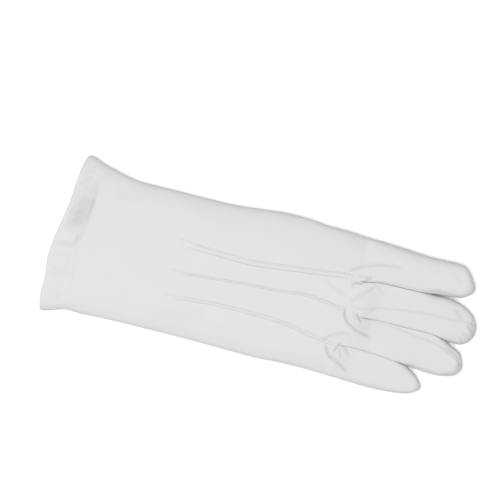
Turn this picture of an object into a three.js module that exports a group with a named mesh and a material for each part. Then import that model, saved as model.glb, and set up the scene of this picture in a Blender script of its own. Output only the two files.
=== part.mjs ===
// Cotton dress glove for the right hand, lying back up, the thumb folded under the palm.
// Millimetres. +X runs toward the fingertips, +Y toward the index side, +Z up from the table.
// The table sizes are measured from the cuff end (x) and from the middle of the palm (y).
import * as THREE from "three";

// Cloth
const CLOTH = 1.0;
const HEM_CLOTH = 1.8;
const SEAM_GAP = 0.3;
const HEM_GAP = 0.45;

// Roundness of a lying tube: the powers of its flattened cross-section
const HAND_POWER = 3.0;
const FINGER_POWER = 2.4;
const FINGER_FULLNESS = 0.85;
const MIDDLE_LEVEL = 0.42; // height of the side edges as a share of the whole height
const FLATTENING = 1.3; // how far the underside would sag below the table, cut flat there

// Columns of cloth: six steps over the back of each finger, four round each side
const STEPS_PER_FINGER = 6;
const SIDE_STEPS = 4;
const EDGE_ANGLE = 20; // where back and palm turn into the side, in degrees from the edge

// Outline and height of the hand from the cuff to the finger roots
const HAND = [
  { x: 0, index: 50.6, little: -60.0, height: 12.8 },
  { x: 5, index: 50.6, little: -59.6, height: 13.0 },
  { x: 10, index: 50.5, little: -58.2, height: 13.2 },
  { x: 14, index: 50.2, little: -57.0, height: 13.4 },
  { x: 19, index: 48.2, little: -55.3, height: 13.5 },
  { x: 24, index: 46.6, little: -55.3, height: 13.6 },
  { x: 30, index: 45.2, little: -55.6, height: 13.6 },
  { x: 38, index: 43.2, little: -55.1, height: 13.7 },
  { x: 47, index: 41.9, little: -54.7, height: 13.8 },
  { x: 60, index: 41.8, little: -54.5, height: 13.8 },
  { x: 78, index: 42.0, little: -54.3, height: 13.9 },
  { x: 96, index: 42.1, little: -54.2, height: 14.0 },
  { x: 111, index: 42.3, little: -54.2, height: 14.2 },
  { x: 131, index: 44.0, little: -54.5, height: 14.4 },
  { x: 147, index: 45.8, little: -54.7, height: 14.5 },
  { x: 157, index: 46.2, little: -54.6, height: 14.5 },
  { x: 168, index: 45.8, little: -53.8, height: 14.6 },
  { x: 179, index: 44.8, little: -53.6, height: 14.6 },
  { x: 192, index: 44.7, little: -53.7, height: 14.7 },
  { x: 206, index: 43.9, little: -54.0, height: 14.6 },
  { x: 214, index: 43.6, little: -54.2, height: 14.4 },
];

// Where each row of cloth starts and ends, across the width: eta is 1 at the index edge
const ENDS = [
  { eta: -1.0, cuff: 3.0, hemLine: 18.6, roots: 199.5 },
  { eta: -0.8, cuff: 1.6, hemLine: 19.5, roots: 202.0 },
  { eta: -0.54, cuff: 1.6, hemLine: 19.2, roots: 205.7 },
  { eta: -0.33, cuff: 0.2, hemLine: 18.4, roots: 210.4 },
  { eta: -0.11, cuff: 1.2, hemLine: 16.6, roots: 213.8 },
  { eta: 0.14, cuff: 3.6, hemLine: 17.2, roots: 212.0 },
  { eta: 0.38, cuff: 5.4, hemLine: 17.2, roots: 208.6 },
  { eta: 0.66, cuff: 6.6, hemLine: 18.6, roots: 208.0 },
  { eta: 0.86, cuff: 7.6, hemLine: 20.0, roots: 207.0 },
  { eta: 1.0, cuff: 9.6, hemLine: 20.8, roots: 206.0 },
];

// The three lines of the stitched points, running on into the finger crotches
const POINT_LINES = [
  { x: 0, first: 17.0, second: -7.0, third: -34.0 },
  { x: 19, first: 16.0, second: -8.0, third: -34.0 },
  { x: 50, first: 12.5, second: -10.0, third: -31.5 },
  { x: 80, first: 9.0, second: -11.2, third: -28.8 },
  { x: 96, first: 7.6, second: -11.1, third: -27.6 },
  { x: 114, first: 6.9, second: -9.4, third: -26.0 },
  { x: 130, first: 6.4, second: -7.9, third: -25.5 },
  { x: 145, first: 7.4, second: -6.9, third: -25.6 },
  { x: 160, first: 9.3, second: -6.0, third: -26.0 },
  { x: 174, first: 11.0, second: -4.4, third: -27.9 },
  { x: 187, first: 12.8, second: -5.2, third: -30.3 },
  { x: 200, first: 14.6, second: -7.2, third: -31.9 },
  { x: 208, first: 13.8, second: -9.0, third: -31.7 },
  { x: 215, first: 13.8, second: -10.4, third: -31.6 },
];
const CROTCH_NAMES = ["first", "second", "third"];

// Rows of cloth between the hem line and the finger roots, by their x near the middle
const HAND_ROWS = [
  18, 28, 39, 50, 61, 72, 84, 95, 104.5, 112.5, 120.5, 128.5, 136.5, 145, 154, 163, 172, 181,
  189, 196, 202, 207.5, 212,
];
const HOLE_ROWS = [8, 12];
const HOLE_COLUMNS = [1, 5];

// Valleys between the finger roots
const VALLEY = { depth: 3.0, rise: 1.7, halfWidth: 5.0, length: 26 };

// Fingers. Edges of the outline, and where the side strips are sewn in, as angles round the
// section: 0 at the index edge, 90 on top, 180 at the little edge, 270 underneath.
const INDEX = {
  height: 13.8,
  tip: 286.8,
  innerStripEnd: 0,
  outerStripEnd: 281,
  rows: [
    { x: 211, high: 43.6, low: 14.7, topIn: 20, underIn: -20, topOut: 150, underOut: 210 },
    { x: 214.5, high: 43.5, low: 15.3, topIn: 20, underIn: -20, topOut: 142, underOut: 220 },
    { x: 220, high: 43.4, low: 16.2, topIn: 20, underIn: -20, topOut: 136, underOut: 228 },
    { x: 228, high: 43.1, low: 16.6, topIn: 20, underIn: -20, topOut: 132, underOut: 233 },
    { x: 240, high: 42.2, low: 16.8, topIn: 20, underIn: -20, topOut: 130, underOut: 234 },
    { x: 252, high: 41.6, low: 17.1, topIn: 20, underIn: -20, topOut: 131, underOut: 229 },
    { x: 263, high: 41.8, low: 18.0, topIn: 20, underIn: -20, topOut: 138, underOut: 220 },
    { x: 271, high: 42.1, low: 18.7, topIn: 20, underIn: -20, topOut: 147, underOut: 209 },
    { x: 277, high: 41.1, low: 19.5, topIn: 20, underIn: -20, topOut: 158, underOut: 200 },
    { x: 281, high: 37.4, low: 20.8, topIn: 20, underIn: -20, topOut: 168, underOut: 192 },
    { x: 284, high: 33.2, low: 22.8, topIn: 20, underIn: -20, topOut: 168, underOut: 192 },
    { x: 286, high: 30.0, low: 24.8, topIn: 20, underIn: -20, topOut: 168, underOut: 192 },
  ],
};
const MIDDLE = {
  height: 12.2,
  tip: 294.4,
  innerStripEnd: 284,
  outerStripEnd: 289,
  rows: [
    { x: 213.8, high: 12.9, low: -9.4, topIn: 28, underIn: -34, topOut: 142, underOut: 206 },
    { x: 219, high: 14.3, low: -9.4, topIn: 22, underIn: -42, topOut: 122, underOut: 208 },
    { x: 225, high: 15.5, low: -8.9, topIn: 14, underIn: -52, topOut: 106, underOut: 204 },
    { x: 234, high: 15.9, low: -8.8, topIn: 11, underIn: -56, topOut: 100, underOut: 202 },
    { x: 246, high: 16.2, low: -8.8, topIn: 10, underIn: -56, topOut: 94, underOut: 201 },
    { x: 258, high: 16.7, low: -8.5, topIn: 10, underIn: -50, topOut: 91, underOut: 197 },
    { x: 268, high: 17.3, low: -8.6, topIn: 9, underIn: -42, topOut: 90, underOut: 187 },
    { x: 277, high: 16.6, low: -10.4, topIn: 8, underIn: -33, topOut: 87, underOut: 168 },
    { x: 284, high: 14.2, low: -11.5, topIn: 6, underIn: -26, topOut: 78, underOut: 136 },
    { x: 289, high: 11.0, low: -9.9, topIn: 4, underIn: -20, topOut: 70, underOut: 104 },
    { x: 292, high: 7.4, low: -7.2, topIn: 4, underIn: -20, topOut: 70, underOut: 104 },
    { x: 293.7, high: 4.4, low: -4.4, topIn: 4, underIn: -20, topOut: 70, underOut: 104 },
  ],
};
const RING = {
  height: 11.4,
  tip: 291.5,
  innerStripEnd: 289.8,
  outerStripEnd: 281,
  rows: [
    { x: 212.4, high: -10.9, low: -31.0, topIn: 36, underIn: -32, topOut: 148, underOut: 212 },
    { x: 217, high: -10.8, low: -30.7, topIn: 42, underIn: -34, topOut: 156, underOut: 222 },
    { x: 223, high: -9.9, low: -30.9, topIn: 47, underIn: -34, topOut: 162, underOut: 232 },
    { x: 232, high: -9.6, low: -31.3, topIn: 49, underIn: -34, topOut: 165, underOut: 236 },
    { x: 243, high: -9.5, low: -32.2, topIn: 52, underIn: -34, topOut: 165, underOut: 238 },
    { x: 254, high: -9.4, low: -33.5, topIn: 57, underIn: -32, topOut: 165, underOut: 235 },
    { x: 264, high: -9.5, low: -35.1, topIn: 60, underIn: -27, topOut: 166, underOut: 226 },
    { x: 273, high: -11.3, low: -35.6, topIn: 62, underIn: -17, topOut: 168, underOut: 216 },
    { x: 281, high: -13.7, low: -34.8, topIn: 66, underIn: -2, topOut: 170, underOut: 205 },
    { x: 287, high: -16.4, low: -32.8, topIn: 76, underIn: 24, topOut: 174, underOut: 196 },
    { x: 289.8, high: -20.4, low: -30.6, topIn: 85, underIn: 48, topOut: 174, underOut: 196 },
    { x: 291, high: -23.6, low: -28.4, topIn: 85, underIn: 48, topOut: 174, underOut: 196 },
  ],
};
const LITTLE = {
  height: 10.8,
  tip: 267.6,
  innerStripEnd: 262,
  outerStripEnd: 0,
  rows: [
    { x: 205, high: -32.4, low: -54.0, topIn: 28, underIn: -34, topOut: 160, underOut: 200 },
    { x: 210, high: -32.0, low: -54.0, topIn: 22, underIn: -40, topOut: 160, underOut: 200 },
    { x: 216, high: -31.6, low: -54.4, topIn: 16, underIn: -48, topOut: 160, underOut: 200 },
    { x: 224, high: -31.8, low: -54.8, topIn: 13, underIn: -54, topOut: 160, underOut: 200 },
    { x: 234, high: -32.4, low: -54.9, topIn: 12, underIn: -56, topOut: 160, underOut: 200 },
    { x: 244, high: -33.3, low: -54.6, topIn: 12, underIn: -50, topOut: 160, underOut: 200 },
    { x: 252, high: -34.5, low: -53.8, topIn: 11, underIn: -38, topOut: 160, underOut: 200 },
    { x: 258, high: -36.4, low: -52.8, topIn: 10, underIn: -26, topOut: 160, underOut: 200 },
    { x: 262, high: -38.8, low: -51.4, topIn: 8, underIn: -18, topOut: 160, underOut: 200 },
    { x: 265, high: -41.8, low: -49.6, topIn: 8, underIn: -18, topOut: 160, underOut: 200 },
    { x: 266.9, high: -44.2, low: -47.8, topIn: 8, underIn: -18, topOut: 160, underOut: 200 },
  ],
};
const FINGERS = [INDEX, MIDDLE, RING, LITTLE];
const FINGER_BLEND = 13; // length over which a finger leaves the shape of the hand
const STRIPS = ["fourchette_index_middle", "fourchette_middle_ring", "fourchette_ring_little"];

// Thumb, a flat tube on the table under the palm
const THUMB = {
  height: 3.9,
  rootX: 120,
  rootY: 24,
  tipX: 186.4,
  tipY: 8.5,
  holeHalfLength: 15.5,
  holeHalfWidth: 12.3,
  blendRows: 4,
  tipLength: 14,
};
const THUMB_SECTIONS = [
  { x: 25, half: 13.0 },
  { x: 33, half: 13.4 },
  { x: 42, half: 13.3 },
  { x: 50, half: 12.8 },
  { x: 56, half: 11.7 },
  { x: 61, half: 9.8 },
  { x: 64.5, half: 7.4 },
  { x: 66.8, half: 4.6 },
  { x: 67.7, half: 2.2 },
];
const TENT = { clearance: 0.34, reach: 12, rampFrom: 104, rampTo: 135 };

// Folds, dents and gathers in the upper cloth: a line, its half width and its height
const FOLDS = [
  { height: -0.6, half: 3.2, line: [[20, 40], [18.5, 28], [16.6, 12], [17.4, 1]] },
  { height: -1.9, half: 4.2, line: [[1, -3], [9, -7.5], [17, -12]] },
  { height: -2.0, half: 4.0, line: [[0, -34], [7, -32.5], [14.5, -31]] },
  { height: -1.1, half: 4.5, line: [[6, 30], [10, 22], [16, 17]] },
  { height: 0.9, half: 5.5, line: [[4, 8], [9, 3], [13, -1]] },
  { height: 1.3, half: 5.0, line: [[3, -19], [9, -21], [16, -22]] },
  { height: 1.0, half: 5.5, line: [[3, -46], [10, -46], [17, -45]] },
  { height: -0.4, half: 3.6, line: [[200, 20], [209, 24.5], [218, 27.8], [231, 29.8], [240, 30]] },
  { height: -1.0, half: 3.4, line: [[203, -2.5], [210, 2], [217, 7], [222, 12]] },
  { height: -1.0, half: 3.2, line: [[204.6, -6], [205, -12], [209, -16.5], [216, -19.5], [225, -22]] },
  { height: -0.9, half: 3.2, line: [[192, -33], [198, -27.5], [205, -24], [213, -23.6], [221, -24]] },
  { height: -1.1, half: 3.2, line: [[198, -36], [203.7, -41], [210, -43.8], [217, -47]] },
  { height: -0.7, half: 4.0, line: [[283, 12], [287, 4], [286, -5]] },
  { height: -0.2, half: 9.0, line: [[34, 38], [52, 26], [78, 22]] },
  { height: 0.4, half: 10.0, line: [[30, -20], [60, -30], [95, -42]] },
  { height: -0.2, half: 9.0, line: [[150, 30], [175, 30], [198, 31]] },
];

// Stitched points: raised tucks
const POINT = { half: 1.6, height: 1.1, lift: 0.35, fromRows: [7, 7, 7], untilRow: 20 };
const POINT_NAMES = ["point_index", "point_middle", "point_ring"];

const RAD = Math.PI / 180;

function mix(a, b, s) {
  return a + (b - a) * s;
}

function smooth(s) {
  const t = Math.min(1, Math.max(0, s));
  return t * t * (3 - 2 * t);
}

// Smooth value of one column of a table at a place along it
function along(table, column, at, key = "x") {
  const last = table.length - 1;
  if (at <= table[0][key]) return table[0][column];
  if (at >= table[last][key]) return table[last][column];
  let i = 0;
  while (table[i + 1][key] < at) i++;
  const before = table[Math.max(i - 1, 0)];
  const a = table[i];
  const b = table[i + 1];
  const after = table[Math.min(i + 2, last)];
  const step = b[key] - a[key];
  const s = (at - a[key]) / step;
  const slopeA = ((b[column] - before[column]) / (b[key] - before[key])) * step;
  const slopeB = ((after[column] - a[column]) / (after[key] - a[key])) * step;
  const s2 = s * s;
  const s3 = s2 * s;
  return (
    (2 * s3 - 3 * s2 + 1) * a[column] +
    (s3 - 2 * s2 + s) * slopeA +
    (3 * s2 - 2 * s3) * b[column] +
    (s3 - s2) * slopeB
  );
}

// Height of the folds at a place on the upper cloth
function foldHeight(x, y) {
  let sum = 0;
  for (const fold of FOLDS) {
    let nearest = Infinity;
    for (let i = 0; i + 1 < fold.line.length; i++) {
      const [ax, ay] = fold.line[i];
      const [bx, by] = fold.line[i + 1];
      const length2 = (bx - ax) ** 2 + (by - ay) ** 2;
      const s = Math.min(1, Math.max(0, ((x - ax) * (bx - ax) + (y - ay) * (by - ay)) / length2));
      nearest = Math.min(nearest, Math.hypot(x - mix(ax, bx, s), y - mix(ay, by, s)));
    }
    sum += fold.height * Math.exp(-((nearest / fold.half) ** 2));
  }
  return sum;
}

// Place of the thumb under the palm, seen from above: along it, and to its side
const thumbAxis = new THREE.Vector2(THUMB.tipX - THUMB.rootX, THUMB.tipY - THUMB.rootY);
const THUMB_LENGTH = thumbAxis.length();
thumbAxis.normalize();
const thumbSide = new THREE.Vector2(-thumbAxis.y, thumbAxis.x);

// Level of the palm cloth where it lies over the thumb, falling to the table round it
function tentHeight(x, y) {
  const dx = x - THUMB.rootX;
  const dy = y - THUMB.rootY;
  const u = dx * thumbAxis.x + dy * thumbAxis.y;
  const v = dx * thumbSide.x + dy * thumbSide.y;
  const half = along(THUMB_SECTIONS, "half", Math.min(u, 50));
  const tipStart = THUMB_LENGTH - THUMB.tipLength;
  let beyond = Math.abs(v) - half;
  if (u > tipStart) {
    const around = Math.hypot((u - tipStart) / THUMB.tipLength, v / half);
    beyond = (around - 1) * THUMB.tipLength;
  }
  const fall = 1 - smooth((beyond - 1.6) / TENT.reach);
  const ramp = smooth((x - TENT.rampFrom) / (TENT.rampTo - TENT.rampFrom));
  return (THUMB.height + TENT.clearance) * fall * ramp;
}

// Valleys between the finger roots: 1 in the crotch, 0 away from it
function valley(x, y) {
  let most = 0;
  for (const name of CROTCH_NAMES) {
    const across = Math.exp(-(((y - along(POINT_LINES, name, x)) / VALLEY.halfWidth) ** 2));
    most = Math.max(most, across);
  }
  return most;
}

// A place on the skin of the hand. The row runs from 0 at the hem line to 1 at the finger roots,
// and below 0 into the hem. The level is 1 on the back, -1 in the palm, between them at the sides.
function handPlace(row, eta, level) {
  const hemLine = along(ENDS, "hemLine", eta, "eta");
  const x =
    row >= 0
      ? mix(hemLine, along(ENDS, "roots", eta, "eta"), row)
      : mix(hemLine - HEM_GAP, along(ENDS, "cuff", eta, "eta"), -row);
  const index = along(HAND, "index", x);
  const little = along(HAND, "little", x);
  const y = (index + little) / 2 + (eta * (index - little)) / 2;
  const height = along(HAND, "height", x);
  const middle = MIDDLE_LEVEL * height;
  const nearRoots = smooth(1 - ((1 - row) * 190) / VALLEY.length) * (row > 0 ? 1 : 0);
  const dip = valley(x, y) * nearRoots;
  let z;
  if (level > 0) {
    z = middle + (height - middle) * level - VALLEY.depth * dip;
    z += foldHeight(x, y) * level;
  } else {
    const sag = Math.max(0, middle + FLATTENING * middle * level);
    z = Math.max(sag, tentHeight(x, y)) + VALLEY.rise * dip;
  }
  return new THREE.Vector3(x, y, z);
}

// Rise of the cloth at a place across a lying tube, as a share of its half height
function rise(eta, power) {
  return Math.sqrt(Math.max(0, 1 - Math.abs(eta) ** power));
}

// The skin: points shared along the seams, faces marked with the piece they belong to
const points = [];
const faces = [];
const foldNormals = new Map();

function addPoint(v) {
  points.push(v);
  return points.length - 1;
}

function addFace(piece, a, b, c) {
  if (a !== b && b !== c && c !== a) faces.push({ piece, a, b, c });
}

// Four-sided patch, split along its shorter diagonal
function addPatch(piece, a, b, c, d) {
  if (points[a].distanceToSquared(points[c]) <= points[b].distanceToSquared(points[d])) {
    addFace(piece, a, b, c);
    addFace(piece, a, c, d);
  } else {
    addFace(piece, a, b, d);
    addFace(piece, b, c, d);
  }
}

// Columns across back and palm at one row
const COLUMNS = STEPS_PER_FINGER * FINGERS.length;
const EDGE_ETA = Math.cos(EDGE_ANGLE * RAD) ** (2 / HAND_POWER);

function columnEta(row, column) {
  let eta = 0;
  for (let pass = 0; pass < 3; pass++) {
    const hemLine = along(ENDS, "hemLine", eta, "eta");
    const x = mix(hemLine, along(ENDS, "roots", eta, "eta"), Math.max(row, 0)) + Math.min(row, 0) * 12;
    const index = along(HAND, "index", x);
    const little = along(HAND, "little", x);
    const centre = (index + little) / 2;
    const half = (index - little) / 2;
    const knots = [EDGE_ETA];
    for (const name of CROTCH_NAMES) knots.push((along(POINT_LINES, name, x) - centre) / half);
    knots.push(-EDGE_ETA);
    const finger = Math.min(Math.floor(column / STEPS_PER_FINGER), FINGERS.length - 1);
    const s = column / STEPS_PER_FINGER - finger;
    eta = mix(knots[finger], knots[finger + 1], s);
  }
  return eta;
}

function sideAngle(step) {
  return EDGE_ANGLE - (2 * EDGE_ANGLE * step) / SIDE_STEPS;
}

// One loop round the hand: back, little side, palm, index side
function handLoop(row) {
  const loop = [];
  for (let column = 0; column <= COLUMNS; column++) {
    const eta = columnEta(row, column);
    loop.push(handPlace(row, eta, rise(eta, HAND_POWER)));
  }
  for (let step = 1; step < SIDE_STEPS; step++) {
    const angle = sideAngle(step) * RAD;
    loop.push(handPlace(row, -(Math.cos(angle) ** (2 / HAND_POWER)), Math.sin(angle)));
  }
  for (let column = COLUMNS; column >= 0; column--) {
    const eta = columnEta(row, column);
    loop.push(handPlace(row, eta, -rise(eta, HAND_POWER)));
  }
  for (let step = SIDE_STEPS - 1; step > 0; step--) {
    const angle = sideAngle(step) * RAD;
    loop.push(handPlace(row, Math.cos(angle) ** (2 / HAND_POWER), Math.sin(angle)));
  }
  return loop;
}

function backAt(column) {
  return column;
}

function palmAt(column) {
  return COLUMNS + SIDE_STEPS + (COLUMNS - column);
}

// Thumb hole: the block of palm cloth is opened and its rim drawn round
const firstRow = HAND_ROWS[0];
const lastRow = HAND_ROWS[HAND_ROWS.length - 1];
const rowShares = HAND_ROWS.map((x) => (x - firstRow) / (lastRow - firstRow));
const handPlaces = rowShares.map(handLoop);
const holeMiddleRow = (HOLE_ROWS[0] + HOLE_ROWS[1]) / 2;
const holeMiddleColumn = (HOLE_COLUMNS[0] + HOLE_COLUMNS[1]) / 2;
const holeHalfRows = (HOLE_ROWS[1] - HOLE_ROWS[0]) / 2;
const holeHalfColumns = (HOLE_COLUMNS[1] - HOLE_COLUMNS[0]) / 2;

for (let i = 0; i < handPlaces.length; i++) {
  for (let column = 0; column <= COLUMNS; column++) {
    const a = (i - holeMiddleRow) / holeHalfRows;
    const b = -(column - holeMiddleColumn) / holeHalfColumns;
    const square = Math.max(Math.abs(a), Math.abs(b));
    if (square < 0.99 || square > 2.4) continue;
    const around = Math.hypot(a, b);
    const pull = smooth((2.4 - square) / 1.4);
    const place = handPlaces[i][palmAt(column)];
    const u = (THUMB.holeHalfLength * a * square) / around;
    const v = (THUMB.holeHalfWidth * b * square) / around;
    const x = THUMB.rootX + thumbAxis.x * u + thumbSide.x * v;
    const y = THUMB.rootY + thumbAxis.y * u + thumbSide.y * v;
    place.x = mix(place.x, x, pull);
    place.y = mix(place.y, y, pull);
    if (square < 1.01) {
      const forward = (1 + a / around) / 2;
      place.z = (THUMB.height + 0.5) * forward ** 1.2;
    } else if (pull > 0) {
      place.z = Math.max(place.z * (1 - pull), tentHeight(place.x, place.y));
    }
  }
}

const handLoops = handPlaces.map((loop) => loop.map(addPoint));

function inHole(i, k) {
  const column = palmAt(0) - k - 1;
  const rows = i >= HOLE_ROWS[0] && i < HOLE_ROWS[1];
  return rows && column >= HOLE_COLUMNS[0] && column < HOLE_COLUMNS[1];
}

for (let i = 0; i + 1 < handLoops.length; i++) {
  const here = handLoops[i];
  const next = handLoops[i + 1];
  for (let k = 0; k < here.length; k++) {
    const m = (k + 1) % here.length;
    if (!inHole(i, k)) addPatch("hand_trank", here[k], here[m], next[m], next[k]);
  }
}

// Crotches: a short upright line of cloth between back and palm, where a strip is doubled
const rootLoop = handLoops[handLoops.length - 1];
const crotches = CROTCH_NAMES.map((name, i) => {
  const column = (i + 1) * STEPS_PER_FINGER;
  const top = rootLoop[backAt(column)];
  const under = rootLoop[palmAt(column)];
  const line = [];
  for (let step = 1; step < SIDE_STEPS; step++) {
    const s = step / SIDE_STEPS;
    const place = points[top].clone().lerp(points[under], s);
    place.x -= 1.2 * Math.sin(Math.PI * s);
    const id = addPoint(place);
    foldNormals.set(id, new THREE.Vector3(1, 0, 0));
    line.push(id);
  }
  foldNormals.set(top, new THREE.Vector3(1, 0, 1).normalize());
  foldNormals.set(under, new THREE.Vector3(1, 0, -1).normalize());
  return line;
});

// Fingers
function fingerSection(finger, row) {
  const half = (row.high - row.low) / 2;
  const centre = (row.high + row.low) / 2;
  const fromTip = finger.tip - row.x;
  const tipRound = finger.height * 0.62;
  const round = fromTip < tipRound ? Math.sqrt(1 - (1 - fromTip / tipRound) ** 2) : 1;
  const middle = MIDDLE_LEVEL * finger.height;
  const place = (angle) => {
    const c = Math.cos(angle * RAD);
    const s = Math.sign(Math.sin(angle * RAD)) * Math.abs(Math.sin(angle * RAD)) ** FINGER_FULLNESS;
    const y = centre + Math.sign(c) * half * Math.abs(c) ** (2 / FINGER_POWER);
    let z;
    if (s > 0) z = middle + ((finger.height - middle) * s + foldHeight(row.x, y) * s) * round;
    else z = Math.max(middle * (1 - round), middle + FLATTENING * middle * s * round);
    return new THREE.Vector3(row.x, y, z);
  };
  const angles = [];
  const spread = (from, to, steps) => {
    for (let i = 0; i < steps; i++) angles.push(mix(from, to, i / steps));
  };
  spread(row.topIn, row.topOut, STEPS_PER_FINGER);
  spread(row.topOut, row.underOut, SIDE_STEPS);
  spread(row.underOut, row.underIn + 360, STEPS_PER_FINGER);
  spread(row.underIn + 360, row.topIn + 360, SIDE_STEPS);
  return angles.map(place);
}

FINGERS.forEach((finger, f) => {
  const from = f * STEPS_PER_FINGER;
  let here = [];
  for (let i = 0; i <= STEPS_PER_FINGER; i++) here.push(rootLoop[backAt(from + i)]);
  if (f < FINGERS.length - 1) here.push(...crotches[f]);
  else for (let i = 1; i < SIDE_STEPS; i++) here.push(rootLoop[COLUMNS + i]);
  for (let i = STEPS_PER_FINGER; i >= 0; i--) here.push(rootLoop[palmAt(from + i)]);
  if (f > 0) here.push(...[...crotches[f - 1]].reverse());
  else for (let i = 1; i < SIDE_STEPS; i++) here.push(rootLoop[palmAt(0) + i]);

  const root = here.map((id) => points[id].clone());
  const rootX = root.reduce((sum, p) => sum + p.x, 0) / root.length;
  const count = here.length;
  for (const row of finger.rows) {
    const settled = smooth((row.x - rootX) / FINGER_BLEND);
    const section = fingerSection(finger, row);
    const next = section.map((place, k) => {
      const carried = root[k].clone();
      carried.x += row.x - rootX;
      carried.y = mix(carried.y, place.y, smooth((row.x - rootX) / 5));
      carried.lerp(place, settled);
      return addPoint(carried);
    });
    for (let k = 0; k < count; k++) {
      const m = (k + 1) % count;
      const outer = k >= STEPS_PER_FINGER && k < STEPS_PER_FINGER + SIDE_STEPS;
      const inner = k >= 2 * STEPS_PER_FINGER + SIDE_STEPS;
      let piece = "hand_trank";
      if (outer && row.x <= finger.outerStripEnd) piece = STRIPS[f];
      if (inner && row.x <= finger.innerStripEnd) piece = STRIPS[f - 1];
      addPatch(piece, here[k], here[m], next[m], next[k]);
    }
    here = next;
  }
  const end = new THREE.Vector3();
  here.forEach((id) => end.add(points[id]));
  end.divideScalar(count);
  end.x = finger.tip;
  const tip = addPoint(end);
  for (let k = 0; k < count; k++) addFace("hand_trank", here[k], here[(k + 1) % count], tip);
});

// Thumb: from the rim of its hole forward under the palm
const rim = [];
const [holeFirst, holeLast] = HOLE_ROWS;
const [columnFirst, columnLast] = HOLE_COLUMNS;
for (let i = holeFirst; i < holeLast; i++) rim.push(handLoops[i][palmAt(columnFirst)]);
for (let c = columnFirst; c < columnLast; c++) rim.push(handLoops[holeLast][palmAt(c)]);
for (let i = holeLast; i > holeFirst; i--) rim.push(handLoops[i][palmAt(columnLast)]);
for (let c = columnLast; c > columnFirst; c--) rim.push(handLoops[holeFirst][palmAt(c)]);

const rimAngles = rim.map((id) => {
  const dx = points[id].x - THUMB.rootX;
  const dy = points[id].y - THUMB.rootY;
  const a = (dx * thumbAxis.x + dy * thumbAxis.y) / THUMB.holeHalfLength;
  const b = (dx * thumbSide.x + dy * thumbSide.y) / THUMB.holeHalfWidth;
  return Math.atan2(b, a);
});
rim.forEach((id, i) => {
  const forward = (1 + Math.cos(rimAngles[i])) / 2;
  const out = new THREE.Vector3(
    thumbAxis.x * Math.cos(rimAngles[i]) + thumbSide.x * Math.sin(rimAngles[i]),
    thumbAxis.y * Math.cos(rimAngles[i]) + thumbSide.y * Math.sin(rimAngles[i]),
    0,
  );
  const normal = out.multiplyScalar(forward);
  normal.z = -(1 - forward);
  foldNormals.set(id, normal.normalize());
});

function thumbPlace(u, half, angle) {
  const fromTip = THUMB_LENGTH - u;
  const tipRound = THUMB.height * 0.62;
  const round = fromTip < tipRound ? Math.sqrt(1 - (1 - fromTip / tipRound) ** 2) : 1;
  const c = Math.cos(angle);
  const s = Math.sin(angle);
  const v = Math.sign(c) * half * Math.abs(c) ** (2 / FINGER_POWER);
  const middle = 0.48 * THUMB.height;
  let z;
  if (s > 0) z = middle + (THUMB.height - middle) * s * round;
  else z = Math.max(middle * (1 - round), middle + FLATTENING * middle * s * round);
  return new THREE.Vector3(
    THUMB.rootX + thumbAxis.x * u + thumbSide.x * v,
    THUMB.rootY + thumbAxis.y * u + thumbSide.y * v,
    z,
  );
}

let thumbLoop = rim;
function joinThumb(places) {
  const next = places.map(addPoint);
  const count = next.length;
  for (let k = 0; k < count; k++) {
    const m = (k + 1) % count;
    addPatch("thumb", thumbLoop[k], thumbLoop[m], next[m], next[k]);
  }
  thumbLoop = next;
}

const firstThumb = THUMB_SECTIONS[0];
for (let step = 1; step < THUMB.blendRows; step++) {
  const s = step / THUMB.blendRows;
  joinThumb(
    rim.map((id, i) => {
      const goal = thumbPlace(firstThumb.x, firstThumb.half, Math.PI / 2 - rimAngles[i]);
      const place = points[id].clone().lerp(goal, s);
      place.z = mix(points[id].z, goal.z, s ** 0.35);
      return place;
    }),
  );
}
for (const section of THUMB_SECTIONS) {
  joinThumb(rimAngles.map((a) => thumbPlace(section.x, section.half, Math.PI / 2 - a)));
}
const thumbEnd = new THREE.Vector3();
thumbLoop.forEach((id) => thumbEnd.add(points[id]));
thumbEnd.divideScalar(thumbLoop.length);
thumbEnd.x = THUMB.rootX + thumbAxis.x * THUMB_LENGTH;
thumbEnd.y = THUMB.rootY + thumbAxis.y * THUMB_LENGTH;
const thumbTip = addPoint(thumbEnd);
thumbLoop.forEach((id, k) => {
  addFace("thumb", id, thumbLoop[(k + 1) % thumbLoop.length], thumbTip);
});

// Outward directions at the points of the skin, shared across seams
const normals = points.map(() => new THREE.Vector3());
const faceNormals = faces.map(({ a, b, c }) => {
  const ab = points[b].clone().sub(points[a]);
  const ac = points[c].clone().sub(points[a]);
  return ab.cross(ac);
});
faces.forEach(({ a, b, c }, i) => {
  for (const id of [a, b, c]) normals[id].add(faceNormals[i]);
});
normals.forEach((n, id) => {
  if (foldNormals.has(id)) n.copy(foldNormals.get(id));
  if (handLoops[0].includes(id)) n.x = 0;
  n.normalize();
});

// Wall of cloth under a point, measured square to its faces
const stretch = points.map(() => ({ sum: 0, weight: 0 }));
faces.forEach(({ a, b, c }, i) => {
  const size = faceNormals[i].length();
  for (const id of [a, b, c]) {
    stretch[id].sum += faceNormals[i].dot(normals[id]);
    stretch[id].weight += size;
  }
});
const depths = points.map((p, id) => {
  if (foldNormals.has(id)) return CLOTH;
  return CLOTH * Math.min(1.35, stretch[id].weight / Math.max(stretch[id].sum, 1e-6));
});

// Edges that belong to one face only of a set of faces
function rimEdges(set) {
  const seen = new Map();
  for (const { a, b, c } of set) {
    for (const [p, q] of [[a, b], [b, c], [c, a]]) seen.set(p + "_" + q, [p, q]);
  }
  return [...seen.values()].filter(([p, q]) => !seen.has(q + "_" + p));
}

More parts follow.
